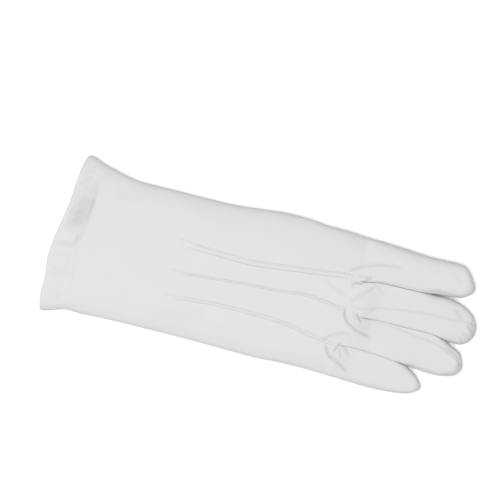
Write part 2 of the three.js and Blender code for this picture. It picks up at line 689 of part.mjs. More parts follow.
// Direction from each seam into the set-in piece, so that both sides step back from it
const seamSteps = new Map();
for (const piece of [...STRIPS, "thumb"]) {
  const set = faces.filter((face) => face.piece === piece);
  const centres = new Map();
  for (const { a, b, c } of set) {
    const centre = points[a].clone().add(points[b]).add(points[c]).divideScalar(3);
    for (const id of [a, b, c]) {
      const way = centre.clone().sub(points[id]).normalize();
      centres.set(id, (centres.get(id) ?? new THREE.Vector3()).add(way));
    }
  }
  const runs = new Map();
  for (const [p, q] of rimEdges(set)) {
    const run = points[q].clone().sub(points[p]).normalize();
    for (const id of [p, q]) runs.set(id, [...(runs.get(id) ?? []), run]);
  }
  for (const [id, [first, second]] of runs) {
    const run = first.clone().add(second);
    const step = centres.get(id).clone();
    if (run.length() > 0.6) step.addScaledVector(run, -step.dot(run) / run.lengthSq());
    step.addScaledVector(normals[id], -step.dot(normals[id])).normalize();
    const aslant = Math.max(step.dot(first) ** 2, step.dot(second) ** 2);
    const square = Math.sqrt(Math.max(1 - aslant, 0.09));
    seamSteps.set(id, step.multiplyScalar(SEAM_GAP / 2 / square));
  }
}

// A piece of cloth: its part of the skin, given a wall and closed round its rim
function clothPiece(piece) {
  const set = faces.filter((face) => face.piece === piece);
  const rims = rimEdges(set);
  const onRim = new Set(rims.flat());
  const ids = [...new Set(set.flatMap(({ a, b, c }) => [a, b, c]))];
  const outer = new Map();
  const inner = new Map();
  const coordinates = [];
  const place = (v) => {
    coordinates.push(v.x, v.y, v.z);
    return coordinates.length / 3 - 1;
  };
  const way = piece === "hand_trank" ? -1 : 1;
  for (const id of ids) {
    const p = points[id].clone();
    if (onRim.has(id) && seamSteps.has(id)) p.addScaledVector(seamSteps.get(id), way);
    outer.set(id, place(p));
    inner.set(id, place(p.addScaledVector(normals[id], -depths[id])));
  }
  const index = [];
  for (const { a, b, c } of set) {
    index.push(outer.get(a), outer.get(b), outer.get(c));
    index.push(inner.get(a), inner.get(c), inner.get(b));
  }
  for (const [p, q] of rims) {
    index.push(outer.get(q), outer.get(p), inner.get(p));
    index.push(outer.get(q), inner.get(p), inner.get(q));
  }
  return solid(coordinates, index);
}

function solid(coordinates, index) {
  const geometry = new THREE.BufferGeometry();
  geometry.setAttribute("position", new THREE.Float32BufferAttribute(coordinates, 3));
  geometry.setIndex(index);
  return geometry;
}

// Cuff hem: a band of doubled cloth, gathered into lobes
const HEM_ROWS = [0, 0.32, 0.68, 1];
function hemBand() {
  const loops = HEM_ROWS.map((share) => handLoop(-share || -1e-9));
  const count = loops[0].length;
  const coordinates = [];
  const inside = loops.map((loop) => {
    const size = new THREE.Box3().setFromPoints(loop);
    const middle = size.getCenter(new THREE.Vector3());
    const span = size.getSize(new THREE.Vector3());
    return loop.map((p) => {
      const y = middle.y + (p.y - middle.y) * (1 - (2 * HEM_CLOTH) / span.y);
      const z = middle.z + (p.z - middle.z) * (1 - (2 * HEM_CLOTH) / span.z);
      return new THREE.Vector3(p.x, y, z);
    });
  });
  for (const loop of [...loops, ...inside.reverse()]) {
    for (const p of loop) coordinates.push(p.x, p.y, p.z);
  }
  const turns = loops.length * 2;
  const index = [];
  for (let i = 0; i < turns; i++) {
    for (let k = 0; k < count; k++) {
      const a = i * count + k;
      const b = i * count + ((k + 1) % count);
      const c = ((i + 1) % turns) * count + ((k + 1) % count);
      const d = ((i + 1) % turns) * count + k;
      index.push(a, d, c, a, c, b);
    }
  }
  return solid(coordinates, index);
}

// A stitched point: a low ridge that follows its column of the back
const POINT_SHAPE = [
  { side: -1, up: 0 },
  { side: 0, up: 0 },
  { side: 1, up: 0 },
  { side: 0.72, up: 0.72 },
  { side: 0, up: 1 },
  { side: -0.72, up: 0.72 },
];
function pointRidge(column, from, until) {
  const coordinates = [];
  const index = [];
  const count = POINT_SHAPE.length;
  for (let i = from; i <= until; i++) {
    const loop = handLoops[i];
    const base = points[loop[backAt(column)]];
    const normal = normals[loop[backAt(column)]];
    const sides = [points[loop[backAt(column - 1)]], points[loop[backAt(column + 1)]]];
    const taper = i === from || i === until ? 0.55 : 1;
    for (const { side, up } of POINT_SHAPE) {
      const p = base.clone();
      if (side !== 0) {
        const beside = sides[side < 0 ? 0 : 1];
        p.lerp(beside, (Math.abs(side) * POINT.half * taper) / base.distanceTo(beside));
      }
      p.addScaledVector(normal, POINT.lift + up * POINT.height * taper);
      coordinates.push(p.x, p.y, p.z);
    }
  }
  const rows = until - from + 1;
  for (let i = 0; i + 1 < rows; i++) {
    for (let k = 0; k < count; k++) {
      const a = i * count + k;
      const b = i * count + ((k + 1) % count);
      index.push(a, b + count, b, a, a + count, b + count);
    }
  }
  const last = (rows - 1) * count;
  const crest = 4;
  for (let k = 1; k + 1 < count; k++) {
    const near = (crest + k) % count;
    const far = (crest + k + 1) % count;
    index.push(crest, near, far);
    index.push(last + crest, last + far, last + near);
  }
  return solid(coordinates, index);
}

const group = new THREE.Group();
const box = new THREE.Box3();

function addMesh(name, geometry, colour) {
  const material = new THREE.MeshStandardMaterial({ color: colour, roughness: 0.92 });
  const mesh = new THREE.Mesh(geometry, material);
  mesh.name = name;
  geometry.computeBoundingBox();
  box.union(geometry.boundingBox);
  group.add(mesh);
}

addMesh("hand_trank", clothPiece("hand_trank"), 0xe8e7e5);
for (const strip of STRIPS) addMesh(strip, clothPiece(strip), 0xe3e2e0);
addMesh("thumb", clothPiece("thumb"), 0xe6e5e3);
addMesh("cuff_hem", hemBand(), 0xebeae8);
POINT_NAMES.forEach((name, i) => {
  const column = (i + 1) * STEPS_PER_FINGER;
  addMesh(name, pointRidge(column, POINT.fromRows[i], POINT.untilRow), 0xdedddb);
});

// The origin is the middle of the underside of the whole glove
const shift = box.getCenter(new THREE.Vector3());
shift.z = box.min.z;
for (const mesh of group.children) mesh.geometry.translate(-shift.x, -shift.y, -shift.z);

export default group;
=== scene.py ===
"""Cotton dress glove for the right hand, lying back up: cloth, seams, stitched points and studio."""
import functools
import math

import bpy
import numpy as np
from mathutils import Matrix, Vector


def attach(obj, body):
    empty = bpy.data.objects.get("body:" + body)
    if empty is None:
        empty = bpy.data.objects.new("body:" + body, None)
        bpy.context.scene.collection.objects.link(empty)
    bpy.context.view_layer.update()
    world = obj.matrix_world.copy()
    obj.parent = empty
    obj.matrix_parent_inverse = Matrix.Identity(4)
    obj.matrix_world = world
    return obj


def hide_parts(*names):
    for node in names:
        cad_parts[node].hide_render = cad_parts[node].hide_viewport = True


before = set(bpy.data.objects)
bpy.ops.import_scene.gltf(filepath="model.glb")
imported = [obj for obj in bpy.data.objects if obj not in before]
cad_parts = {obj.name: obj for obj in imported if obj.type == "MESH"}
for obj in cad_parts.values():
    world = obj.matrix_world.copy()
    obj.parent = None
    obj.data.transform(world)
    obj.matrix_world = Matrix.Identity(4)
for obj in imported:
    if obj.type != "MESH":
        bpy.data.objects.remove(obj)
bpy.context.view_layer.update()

bl_info = {
    "name": "Cotton Dress Glove",
    "version": (1, 0, 0),
    "blender": (4, 5, 0),
    "location": "3D View > Sidebar > Glove",
    "description": "Builds a knitted cotton dress glove over its packed frame",
    "category": "Add Mesh",
}

# Everything below is measured in millimetres from the cuff end (x), from the middle of the palm (y)
# and up from the table (z), as in the frame's source, and is moved into the frame at the end.
FRAME_SHIFT = np.array([-147.1, 4.7, 0.0])
MM = 0.001
LOWEST = 0.03  # how near the table the outer face of the cloth comes
LOWEST_INSIDE = 0.01  # and its inner face

# Steps of the grids. The hand's columns are counted in sixths of a finger from the index side, and its
# rows in the intervals of HAND_ROWS, each with its own number of steps.
COLUMNS_PER_FINGER = 6
PALM_STEPS = 12
FREE_STEPS = 8
STRIP_STEPS = 20
FIRST_ROW = 0.6  # from a finger's root to the first of its own rows
FINGER_STEPS = ((24.0, 0.5), (200.0, 1.4))  # until how far from the root, and how long each step is
TIP_LENGTH = 9.0
TIP_STEPS = 14

# Where the columns of the back lie beside each finger line, in mm on a finger 25 mm across.
# They are close together where a stitched point or a seam needs sharp edges.
BESIDE_LINE = (
    0, 0.5, 0.9, 1.15, 1.4, 1.65, 1.9, 2.3, 2.8, 3.4, 4.1, 4.9, 5.7, 6.5, 7.3, 8.1, 8.9, 9.8, 10.7, 11.6,
    12.5,
)
NOMINAL_WIDTH = 25.0

# Roundness of the lying tubes: 2 is an ellipse, and more is squarer. A finger's side is squarer where it
# lies against its neighbour.
HAND_POWER = 3.6
THUMB_POWER = 2.4
FREE_POWER = 2.8
TOGETHER_POWERS = (16.0, 26.0, 26.0)
CORNER_PULL = 0.83  # draws a finger's columns a little toward the corners of its section
TIP_ROUND = 0.62  # how far the rounding of a tip reaches, in heights of the finger
MIDDLE_LEVEL = 0.42  # how high the sides lie, as a share of the whole height
FLATTENING = 1.3  # depth of the underside in middle heights, before the table cuts it flat
EDGE_ANGLE = 20.0  # how far round the hand's section its sides reach, up and down
TOP_LEVEL = 0.6  # from which level on the folds of the upper cloth are whole


def columns(names, rows):
    """A table's columns by name: the transpose of its rows."""
    return dict(zip(names.split(), np.array(rows, float).T))


# The hand along x: its edges on the index and the little side, and its height as it lies
HAND = columns("x index little height", [
    (0, 50.6, -60.0, 12.8),
    (5, 50.6, -59.6, 13.0),
    (10, 50.5, -58.2, 13.2),
    (14, 50.2, -57.0, 13.4),
    (19, 48.2, -55.3, 13.5),
    (24, 46.6, -55.3, 13.6),
    (30, 45.2, -55.6, 13.6),
    (38, 43.2, -55.1, 13.7),
    (47, 41.9, -54.7, 13.8),
    (60, 41.8, -54.5, 13.8),
    (78, 42.0, -54.3, 13.9),
    (96, 42.1, -54.2, 14.0),
    (111, 42.3, -54.2, 14.2),
    (131, 44.0, -54.5, 14.4),
    (147, 45.8, -54.7, 14.5),
    (157, 46.2, -54.6, 14.5),
    (168, 45.8, -53.8, 14.6),
    (179, 44.8, -53.6, 14.6),
    (192, 44.7, -53.7, 14.7),
    (206, 43.9, -54.0, 14.6),
    (214, 43.6, -54.2, 14.4),
])

# Where the cuff ends, the hem meets the hand and the fingers start, across the hand: eta is 1 at the
# index edge and -1 at the little one
ENDS = columns("eta cuff hem_line roots", [
    (-1.0, 3.0, 18.6, 199.5),
    (-0.8, 1.6, 19.5, 202.0),
    (-0.54, 1.6, 19.2, 205.7),
    (-0.33, 0.2, 18.4, 210.4),
    (-0.11, 1.2, 16.6, 213.8),
    (0.14, 3.6, 17.2, 212.0),
    (0.38, 5.4, 17.2, 208.6),
    (0.66, 6.6, 18.6, 208.0),
    (0.86, 7.6, 20.0, 207.0),
    (1.0, 9.6, 20.8, 206.0),
])

# The lines of the three stitched points down the back, each of which ends at a crotch
POINT_LINES = columns("x first second third", [
    (0, 17.0, -7.0, -34.0),
    (19, 16.0, -8.0, -34.0),
    (50, 12.5, -10.0, -31.5),
    (80, 9.0, -11.2, -28.8),
    (96, 7.6, -11.1, -27.6),
    (114, 6.9, -9.4, -26.0),
    (130, 6.4, -7.9, -25.5),
    (145, 7.4, -6.9, -25.6),
    (160, 9.3, -6.0, -26.0),
    (174, 11.0, -4.4, -27.9),
    (187, 12.8, -5.2, -30.3),
    (200, 14.6, -7.2, -31.9),
    (208, 13.8, -9.0, -31.7),
    (215, 13.8, -10.4, -31.6),
])
CROTCH_NAMES = ("first", "second", "third")

# The hand's rows, the steps in each interval between them, and the block of rows and columns that the
# thumb hole takes out of the palm
HAND_ROWS = np.array([
    18, 28, 39, 50, 61, 72, 84, 95, 104.5, 112.5, 120.5, 128.5, 136.5, 145, 154, 163, 172, 181,
    189, 196, 202, 207.5, 212,
])
ROW_STEPS = (14, *[3] * 7, *[4] * 4, *[3] * 5, 8, 12, 12, 11, 10)
HOLE_ROWS = (8, 12)
HOLE_COLUMNS = (1, 5)
HAND_LENGTH = 190.0  # about how far the finger roots lie from the hem line
HEM_LENGTH = 12.0  # about how far the point lines would run on into the hem
# The hem: how far its cloth starts from the hand's first row, its first row as a share of the way to the
# cuff end, its rows, the steps round its edge, and how deep the groove at its line is for a seam of 1
HEM = {"gap": 0.1, "first": 0.04, "rows": 27, "turn_steps": 8, "groove": 0.12}
# The dip in the back between two fingers, the palm's rise under it, and how wide and long both are
VALLEY = {"depth": 0.5, "rise": 1.7, "half_width": 4.2, "length": 22.0}

# The fingers from the index on. Inner is the side towards the index edge and outer the other. Each has
# its height and tip, where the seams of its strips end, and along x its two edges and the angles of the
# four corners of its section, in degrees.
FINGER_COLUMNS = "x high low top_in under_in top_out under_out"
FINGERS = [
    {
        "height": 13.8, "tip": 286.8, "inner_end": 0.0, "outer_end": 281.0,
        "rows": columns(FINGER_COLUMNS, [
            (211, 43.6, 14.7, 20, -20, 150, 210),
            (214.5, 43.5, 15.3, 20, -20, 142, 220),
            (220, 43.4, 16.2, 20, -20, 136, 228),
            (228, 43.1, 16.6, 20, -20, 132, 233),
            (240, 42.2, 16.8, 20, -20, 130, 234),
            (252, 41.6, 17.1, 20, -20, 131, 229),
            (263, 41.8, 18.0, 20, -20, 138, 220),
            (271, 42.1, 18.7, 20, -20, 147, 209),
            (277, 41.1, 19.5, 20, -20, 158, 200),
            (281, 37.4, 20.8, 20, -20, 168, 192),
            (284, 33.2, 22.8, 20, -20, 168, 192),
            (286, 30.0, 24.8, 20, -20, 168, 192),
        ]),
    },
    {
        "height": 12.2, "tip": 294.4, "inner_end": 284.0, "outer_end": 289.0,
        "rows": columns(FINGER_COLUMNS, [
            (213.8, 12.9, -9.4, 28, -34, 142, 206),
            (219, 14.3, -9.4, 22, -42, 122, 208),
            (225, 15.5, -8.9, 14, -52, 106, 204),
            (234, 15.9, -8.8, 11, -56, 100, 202),
            (246, 16.2, -8.8, 10, -56, 94, 201),
            (258, 16.7, -8.5, 10, -50, 91, 197),
            (268, 17.3, -8.6, 9, -42, 90, 187),
            (277, 16.6, -10.4, 8, -33, 87, 168),
            (284, 14.2, -11.5, 6, -26, 78, 136),
            (289, 11.0, -9.9, 4, -20, 70, 104),
            (292, 7.4, -7.2, 4, -20, 70, 104),
            (293.7, 4.4, -4.4, 4, -20, 70, 104),
        ]),
    },
    {
        "height": 11.4, "tip": 291.5, "inner_end": 289.8, "outer_end": 281.0,
        "rows": columns(FINGER_COLUMNS, [
            (212.4, -10.9, -31.0, 36, -32, 146, 212),
            (217, -10.8, -30.7, 42, -34, 150, 222),
            (223, -9.9, -30.9, 47, -34, 152, 232),
            (232, -9.6, -31.3, 49, -34, 153, 236),
            (243, -9.5, -32.2, 52, -34, 153, 238),
            (254, -9.4, -33.5, 57, -32, 151, 235),
            (264, -9.5, -35.1, 60, -27, 148, 226),
            (273, -11.3, -35.6, 62, -17, 148, 216),
            (281, -13.7, -34.8, 66, -2, 150, 205),
            (287, -16.4, -32.8, 76, 24, 158, 196),
            (289.8, -20.4, -30.6, 85, 48, 174, 196),
            (291, -23.6, -28.4, 85, 48, 174, 196),
        ]),
    },
    {
        "height": 10.8, "tip": 267.6, "inner_end": 262.0, "outer_end": 0.0,
        "rows": columns(FINGER_COLUMNS, [
            (205, -32.4, -54.0, 28, -34, 160, 200),
            (210, -32.0, -54.0, 22, -40, 160, 200),
            (216, -31.6, -54.4, 16, -48, 160, 200),
            (224, -31.8, -54.8, 13, -54, 160, 200),
            (234, -32.4, -54.9, 12, -56, 160, 200),
            (244, -33.3, -54.6, 12, -50, 160, 200),
            (252, -34.5, -53.8, 11, -38, 160, 200),
            (258, -36.4, -52.8, 10, -26, 160, 200),
            (262, -38.8, -51.4, 8, -18, 160, 200),
            (265, -41.8, -49.6, 8, -18, 160, 200),
            (266.9, -44.2, -47.8, 8, -18, 160, 200),
        ]),
    },
]
LAST = len(FINGERS) - 1
FINGER_BLEND = 18.0  # over how long a finger settles into its own sections
STRIP_BLEND = 3.0  # and the strips into theirs
SIDEWAYS_BLEND = 5.0  # and over how long each column moves sideways to its place
FINGERS_APART = 30  # on the cloth's UV map
CROTCH = {"sag": 0.5, "fade": 0.4, "painted_shade": 0.3}  # fade: over which share of the way down folds end. The third is the least painted shade along the crotch, where shade falls between two fingers
TOGETHER = (257.0, 275.0, 252.0)  # how far each pair of neighbours lies against one another
PARTING = 6.0  # over how long they part
ROUNDING = 16.0  # over how long the squarer sides become rounder, from before the parting
SLIT = 0.06  # between two that lie together

# Seams: how wide they are and how strong the painted shade along them is, over how long they come out of a
# crotch and run out before a tip, over how many degrees one that turns under appears, the cloth that swells
# on both sides, and the slow ripples in their depth, each with its height, rate along x and shift from one
# corner to the next
SEAM = {"half_width": 0.7, "painted_shade": 0.15, "start": 12.0, "end": 3.0, "turn": 10.0}
SWELL = {"share": 0.22, "place": 2.2, "half_width": 1.5}
RIPPLES = ((0.25, 1.9, 1), (0.15, 3.1, 2))

STRIPS = ("fourchette_index_middle", "fourchette_middle_ring", "fourchette_ring_little")
POINTS = ("point_index", "point_middle", "point_ring")
# The pieces of cloth by number: the node that each takes the place of
PIECES = ("hand_trank", *STRIPS, "thumb", "cuff_hem")
TRANK, THUMB_PIECE, HEM_PIECE = 0, 4, 5

# The thumb as it lies under the palm, the rows from its hole to its tip, and its share of the waves
THUMB = {
    "height": 3.9, "middle": 0.48, "root": np.array([120.0, 24.0]), "tip": np.array([186.4, 8.5]),
    "hole_length": 15.5, "hole_width": 12.3, "tip_length": 14.0, "wide_until": 50.0,
    "blend_rows": 12, "blend_power": 0.35, "rows": 42, "plain_rows": 4, "waves": 0.3,
}
THUMB_SECTIONS = columns("x half", [
    (25, 13.0), (33, 13.4), (42, 13.3), (50, 12.8), (56, 11.7), (61, 9.8), (64.5, 7.4), (66.8, 4.6),
    (67.7, 2.2),
])
# The palm's cloth over the thumb: how far it stays off it, how it falls round it, and where it rises
TENT = {"clearance": 0.34, "margin": 1.6, "reach": 12.0, "ramp_from": 104.0, "ramp_to": 135.0}
# The palm's cloth round the thumb hole: how far out it is drawn in, in halves of the hole, and its rim
HOLE = {"pull_from": 2.4, "pull_over": 1.4, "rim_lift": 0.5, "rim_power": 1.2, "rim_over": 0.5}

# Folds of the upper cloth: height, half width, crispness (2 is a soft bell, and less is sharper at the
# bottom), strength of the painted shade along the fold, and the line of places that each one follows
HEM_FOLDS = [
    (-0.7, 5.2, 2.0, 0.0, [(19.6, 45), (18.6, 36), (17.4, 25), (15.6, 11), (14.0, 4)]),
    (-0.8, 5.2, 2.0, 0.0, [(19.0, 37), (18.0, 24), (16.0, 10.4), (13.6, 1.3), (12.0, -3)]),
    (-1.1, 5.4, 2.0, 0.0, [(18.2, 27), (17.2, 17), (15.6, 8), (13.4, 0), (11.4, -5)]),
    (0.7, 3.2, 2.0, 0.0, [(24.5, 44), (23.4, 33.3), (23.0, 23.1), (22.0, 10.4), (21.5, 1.3)]),
    (-0.2, 3.6, 2.0, 0.14, [(20.2, 38), (18.8, 30), (17.6, 20), (15.6, 10), (13.4, 2)]),
    (-0.2, 5.4, 2.0, 0.25, [(18.0, 26), (17.0, 18), (14.8, 8.4), (12.6, -1)]),
    (-0.3, 1.2, 2.0, 0.13, [
        (20.6, 36), (20.2, 28.5), (19.8, 20.2), (19.2, 10.3), (19.2, 2), (18.2, -4), (15, -9)]),
    (-0.65, 1.2, 2.0, 0.15, [(18.8, 0), (17.8, -5.4), (14.5, -11), (9.6, -11.3), (1.2, -13.9)]),
    (0.8, 5.4, 2.0, 0.0, [(6.5, -19), (8.5, -24), (6.0, -30)]),
    (-0.3, 2.2, 2.0, 0.04, [(13.1, -13.5), (15.8, -24.1), (13.3, -30.1), (2.9, -34)]),
    (0.5, 1.4, 2.0, 0.0, [(1.5, -35.3), (12.5, -31.6), (22.5, -28.3)]),
    (-0.4, 4.0, 2.0, 0.0, [(12.9, -33.2), (13.5, -40.2), (15.3, -53.5)]),
    (0.7, 5.0, 2.0, 0.0, [(4, 12), (4, 3), (3, -6)]),
    (0.6, 5.5, 2.0, 0.0, [(2, -46), (9, -46), (14, -45)]),
]
GATHERS = {
    "count": 11, "start": (18.5, 46.0), "step": (-0.35, -3.9), "run": (-9.5, -6.5),
    "sway": 1.5, "sway_rate": 2.4, "fold": (-0.38, 1.1, 2.0, 0.08),
}
ROOT_FOLDS = [
    (-0.7, 0.95, 2.0, 0.29, [
        (198, 17), (204.7, 21.5), (212.7, 25.4), (220.2, 27.9), (227.9, 29.3), (237, 28.7)]),
    (-0.6, 0.9, 2.0, 0.40, [(204.5, 8), (205.8, 11.4), (210.6, 12.8), (216.5, 17.6)]),
    (-0.6, 0.9, 2.0, 0.40, [(213.6, 16), (215.2, 17.6), (217.4, 16.8)]),
    (-0.35, 0.9, 2.0, 0.22, [(205.5, 17.1), (210.3, 17.1), (215.2, 17.6)]),
    (-0.6, 1.3, 2.0, 0.12, [(204.5, -2.2), (211.3, 2.9), (215.6, 7.2), (219.3, 10.4), (222.6, 13.6)]),
    (-0.3, 0.95, 2.0, 0.08, [(220, 14.2), (224.4, 11.7), (229, 7.6)]),
    (-0.35, 1.6, 2.0, 0.06, [(186, 10), (190, 7.3), (197, 4), (205, 1)]),
    (-0.2, 0.9, 2.0, 0.12, [(204, -4.4), (209.5, -4.5), (216.7, -3.9), (223, -2), (230, -0.4)]),
    (-0.8, 0.9, 2.0, 0.38, [
        (204.6, -3), (204.8, -10.5), (207.8, -15.2), (212.1, -17.7), (217.2, -20), (223.8, -21),
        (229, -22.4)]),
    (-0.5, 0.9, 2.0, 0.45, [(212.4, -7.4), (213.4, -9.6), (215.2, -11.4), (217.4, -13.6)]),
    (-0.3, 0.9, 2.0, 0.15, [(209, -6), (211.6, -9.4), (213.6, -13)]),
    (-0.6, 0.9, 2.0, 0.22, [
        (192.5, -33.4), (197.7, -28.2), (202.3, -25.2), (207.2, -23.3), (214.6, -22.9)]),
    (-0.8, 1.05, 2.0, 0.36, [
        (197.4, -31.5), (199.1, -37.3), (202.3, -41), (207.9, -43.2), (212.5, -45.6), (218.5, -50)]),
    (-0.5, 0.9, 2.0, 0.40, [(207.4, -30), (205.7, -32.4), (203.6, -37.5)]),
    (-0.35, 0.95, 2.0, 0.14, [(206.4, -30.4), (211.6, -33.2), (216, -38)]),
    (-0.3, 0.95, 2.0, 0.10, [(206, -32.6), (208.6, -36.4), (210.4, -40.6)]),
]
TIP_FOLDS = [
    (-0.6, 1.6, 2.0, 0.12, [(276.4, 12), (280.8, 8.4), (282.2, 4.8)]),
    (-0.7, 1.3, 2.0, 0.30, [(286.5, 4), (288.6, 2), (291.3, 0.2), (293.4, -3.6)]),
    (-0.6, 1.3, 2.0, 0.26, [(285, -3), (289, -4.4), (291.5, -7)]),
    (-0.5, 1.2, 2.0, 0.26, [(289, 6.4), (291.2, 3.6), (293.6, 1.8)]),
    (-0.45, 1.4, 2.0, 0.2, [(283, -6), (286, -8.6), (288, -11)]),
    (-0.26, 1.2, 2.0, 0.3, [
        (275, -15.6), (283, -18.2), (286.4, -20.6), (288.5, -23.9), (288, -27.9), (284.4, -31.9),
        (276, -33.3)]),
    (-0.3, 1.8, 2.0, 0.04, [(268, 36), (274, 32), (279, 27)]),
]
BODY_FOLDS = [
    (-0.4, 9.0, 2.0, 0.0, [(30, 38), (52, 26), (82, 22)]),
    (0.4, 10.0, 2.0, 0.0, [(26, -18), (60, -30), (99, -42)]),
    (-0.4, 9.0, 2.0, 0.0, [(144, 30), (175, 30), (202, 31)]),
    (-0.35, 3.4, 1.9, 0.03, [(37, 29), (43, 37), (52, 42)]),
    (-0.3, 2.8, 1.9, 0.03, [(68, 31), (71, 37), (76, 42)]),
    (-0.3, 3.6, 1.9, 0.03, [(71, -48), (88, -42), (105, -38), (114, -27)]),
]
ROUND_STEPS = 5  # steps of a fold's curve between two of its places
FADE = 0.2  # over which share of its line a fold comes and goes
FOLD_REACH = 4  # beyond how many half widths a fold is left out
LIP = {"below": 1.6, "share": 0.28, "place": 1.9, "half_width": 0.8}  # beside folds narrower than that
SHADE = {"crease": 0.72, "fold": 0.8}  # half width of the painted shade in half widths of the fold

# A stitched point across: where, in mm on a finger 25 mm across, and how high as a share of the tuck
POINT_PROFILE = columns("side up", [
    (-3.2, 0.0), (-2.3, -0.04), (-1.9, -0.12), (-1.65, -0.18), (-1.4, 0.22), (-1.15, 0.62), (-0.9, 0.86),
    (-0.5, 1.0), (0.0, 0.96), (0.5, 0.86), (0.9, 0.66), (1.15, 0.42), (1.4, 0.12), (1.65, -0.14),
    (1.9, -0.1), (2.3, -0.04), (3.2, 0.0),
])
# The three points: their widths against the profile's, how much of its sharp fall each has on the index
# side, where along x they start and stop, and over how long they rise
POINT_KINDS = ({"width": 1.1, "upper": 0.9}, {"width": 0.76, "upper": 0.7}, {"width": 0.76, "upper": 0.35})
POINT_SPAN = {"from": 90.0, "until": 206.0, "rise": 9.0}
POINT_SHADE = 0.07  # painted shade in the troughs beside a point
GENTLE = {"from": -0.5, "half_width": 2.6}  # a point's easier fall toward the index side
STITCH_ROWS = ((-1.65, -0.02, 89.0), (1.65, -0.02, 80.0))  # side, how deep it sits, where it starts
# Stitches: their length as a share of the pitch, their widths, how deep the hem's lie, and how far before
# its end a point's row of them stops
STITCHES = {"length": 0.72, "width": 0.36, "hem_width": 0.3, "hem_lift": -0.11, "end": 2.0}

# A stitch from end to end: the place in half lengths, its girth as a share of its width, and how high
# it bows in half widths
THREAD = columns("place girth bow", [
    (-1.0, 0.15, -1.2), (-0.82, 0.72, -0.25), (-0.3, 1.0, 0.55),
    (0.3, 1.0, 0.55), (0.82, 0.72, -0.25), (1.0, 0.15, -1.2),
])
THREAD_SIDES = 5
THREAD_TURN = 18  # degrees, which puts one corner of each ring on top
THREAD_FLATNESS = 0.8

# Soft unevenness of laid cloth: wave length, direction in degrees, phase and height
WAVES = columns("length turn phase height", [
    (61, 12, 0.4, 0.16), (47, 78, 2.1, 0.13), (38, 141, 4.0, 0.11), (29, 33, 1.2, 0.08),
    (23, 102, 5.1, 0.06), (19, 61, 3.3, 0.05), (15, 168, 0.9, 0.035), (11, 20, 2.7, 0.022),
    (8.6, 117, 4.4, 0.016), (6.9, 48, 1.9, 0.012),
])

# The knit, with a loop's length and slant in ribs and the nap and cloud as a noise's scale and detail, and
# the plied thread. In a pair such as tone the pattern is multiplied by the first number, and the second is
# added. Crease is the painted shade in seams and creases, which darkens the colour.
KNIT = {
    "loop": 0.8, "slant": 0.9, "depth": (0.35, 0.65), "nap": (1900, 3), "nap_height": 0.5, "bump": 0.55,
    "cloud": (55, 4), "tone": (0.04, 0.98), "crease": (-0.6, 1.0), "roughness": (0.08, 0.88),
}
PLY = {
    "bands": 900, "distortion": 1.5, "bump": 0.4, "depth": 0.00006, "tone": (0.07, 0.94),
    "roughness": (-0.08, 0.9),
}

# The studio in metres and degrees, with the camera's sensor in millimetres. The camera's view is as wide
# as given here at the level of the glove.
FLOOR = {"half": 3.0, "level": -0.0002, "colour": (0.95, 0.95, 0.95)}
LIGHTS = (("key_light", 1.3, (-0.5, -0.2, 1.85)), ("top_light", 1.6, (0.1, 0.0, 2.2)))  # width and place
CAMERA = {"sensor": 36.0, "width": 0.34, "level": 0.007, "over": (-0.0153, 0.0201), "turn": 14.5}


def mix(a, b, s):
    """The place a share s of the way from a to b."""
    return a + (b - a) * s


def smooth(s):
    """A soft step: three s squared less two s cubed, held at 0 and 1 outside."""
    t = np.clip(s, 0.0, 1.0)
    return t * t * (3.0 - 2.0 * t)


def closed(grid):
    """A grid with its first column once more at the end."""
    return np.concatenate([grid, grid[:, :1]], axis=1)


def running(steps):
    """Length so far at each place of a path: the running sum of its steps."""
    return np.concatenate([[0], np.cumsum(steps)])


def uv_grid(lengthways, around):
    """Places on the UV map from lengths along the cloth and around it."""
    return np.stack(np.broadcast_arrays(lengthways, around), -1)


def along(table, column, at, key="x"):
    """A curve through a table's column: on each interval the cubic that meets both values, with slopes
    equal to the chord between the two neighbours of each end."""
    xs, ys = table[key], table[column]
    at = np.clip(at, xs[0], xs[-1])
    i = np.clip(np.searchsorted(xs, at, side="left") - 1, 0, len(xs) - 2)
    before, after = np.maximum(i - 1, 0), np.minimum(i + 2, len(xs) - 1)
    step = xs[i + 1] - xs[i]
    s = (at - xs[i]) / step
    slope_a = (ys[i + 1] - ys[before]) / (xs[i + 1] - xs[before]) * step
    slope_b = (ys[after] - ys[i]) / (xs[after] - xs[i]) * step
    s2, s3 = s * s, s * s * s
    return (
        (2 * s3 - 3 * s2 + 1) * ys[i] + (s3 - 2 * s2 + s) * slope_a
        + (3 * s2 - 2 * s3) * ys[i + 1] + (s3 - s2) * slope_b
    )


def rounded(line):
    """A finer broken line through the same places: each coordinate as a curve through the length so far."""
    spots = np.array(line, float)
    run = running(np.hypot(*np.diff(spots, axis=0).T))
    table = {"run": run, "x": spots[:, 0], "y": spots[:, 1]}
    at = np.linspace(0, run[-1], ROUND_STEPS * (len(spots) - 1) + 1)
    return np.stack([along(table, "x", at, "run"), along(table, "y", at, "run")], -1)


def distance_to_line(x, y, line):
    """Shortest distance from each place to a broken line, over its segments, and the share of the line's
    length at which it is reached."""
    nearest, share = np.full(x.shape, np.inf), np.zeros(x.shape)
    lengths = np.hypot(*np.diff(line, axis=0).T)
    run = running(lengths) / lengths.sum()
    for i, ((ax, ay), (bx, by)) in enumerate(zip(line, line[1:])):
        s = np.clip(((x - ax) * (bx - ax) + (y - ay) * (by - ay)) / lengths[i] ** 2, 0, 1)
        distance = np.hypot(x - mix(ax, bx, s), y - mix(ay, by, s))
        closer = distance < nearest
        nearest = np.where(closer, distance, nearest)
        share = np.where(closer, mix(run[i], run[i + 1], s), share)
    return nearest, share


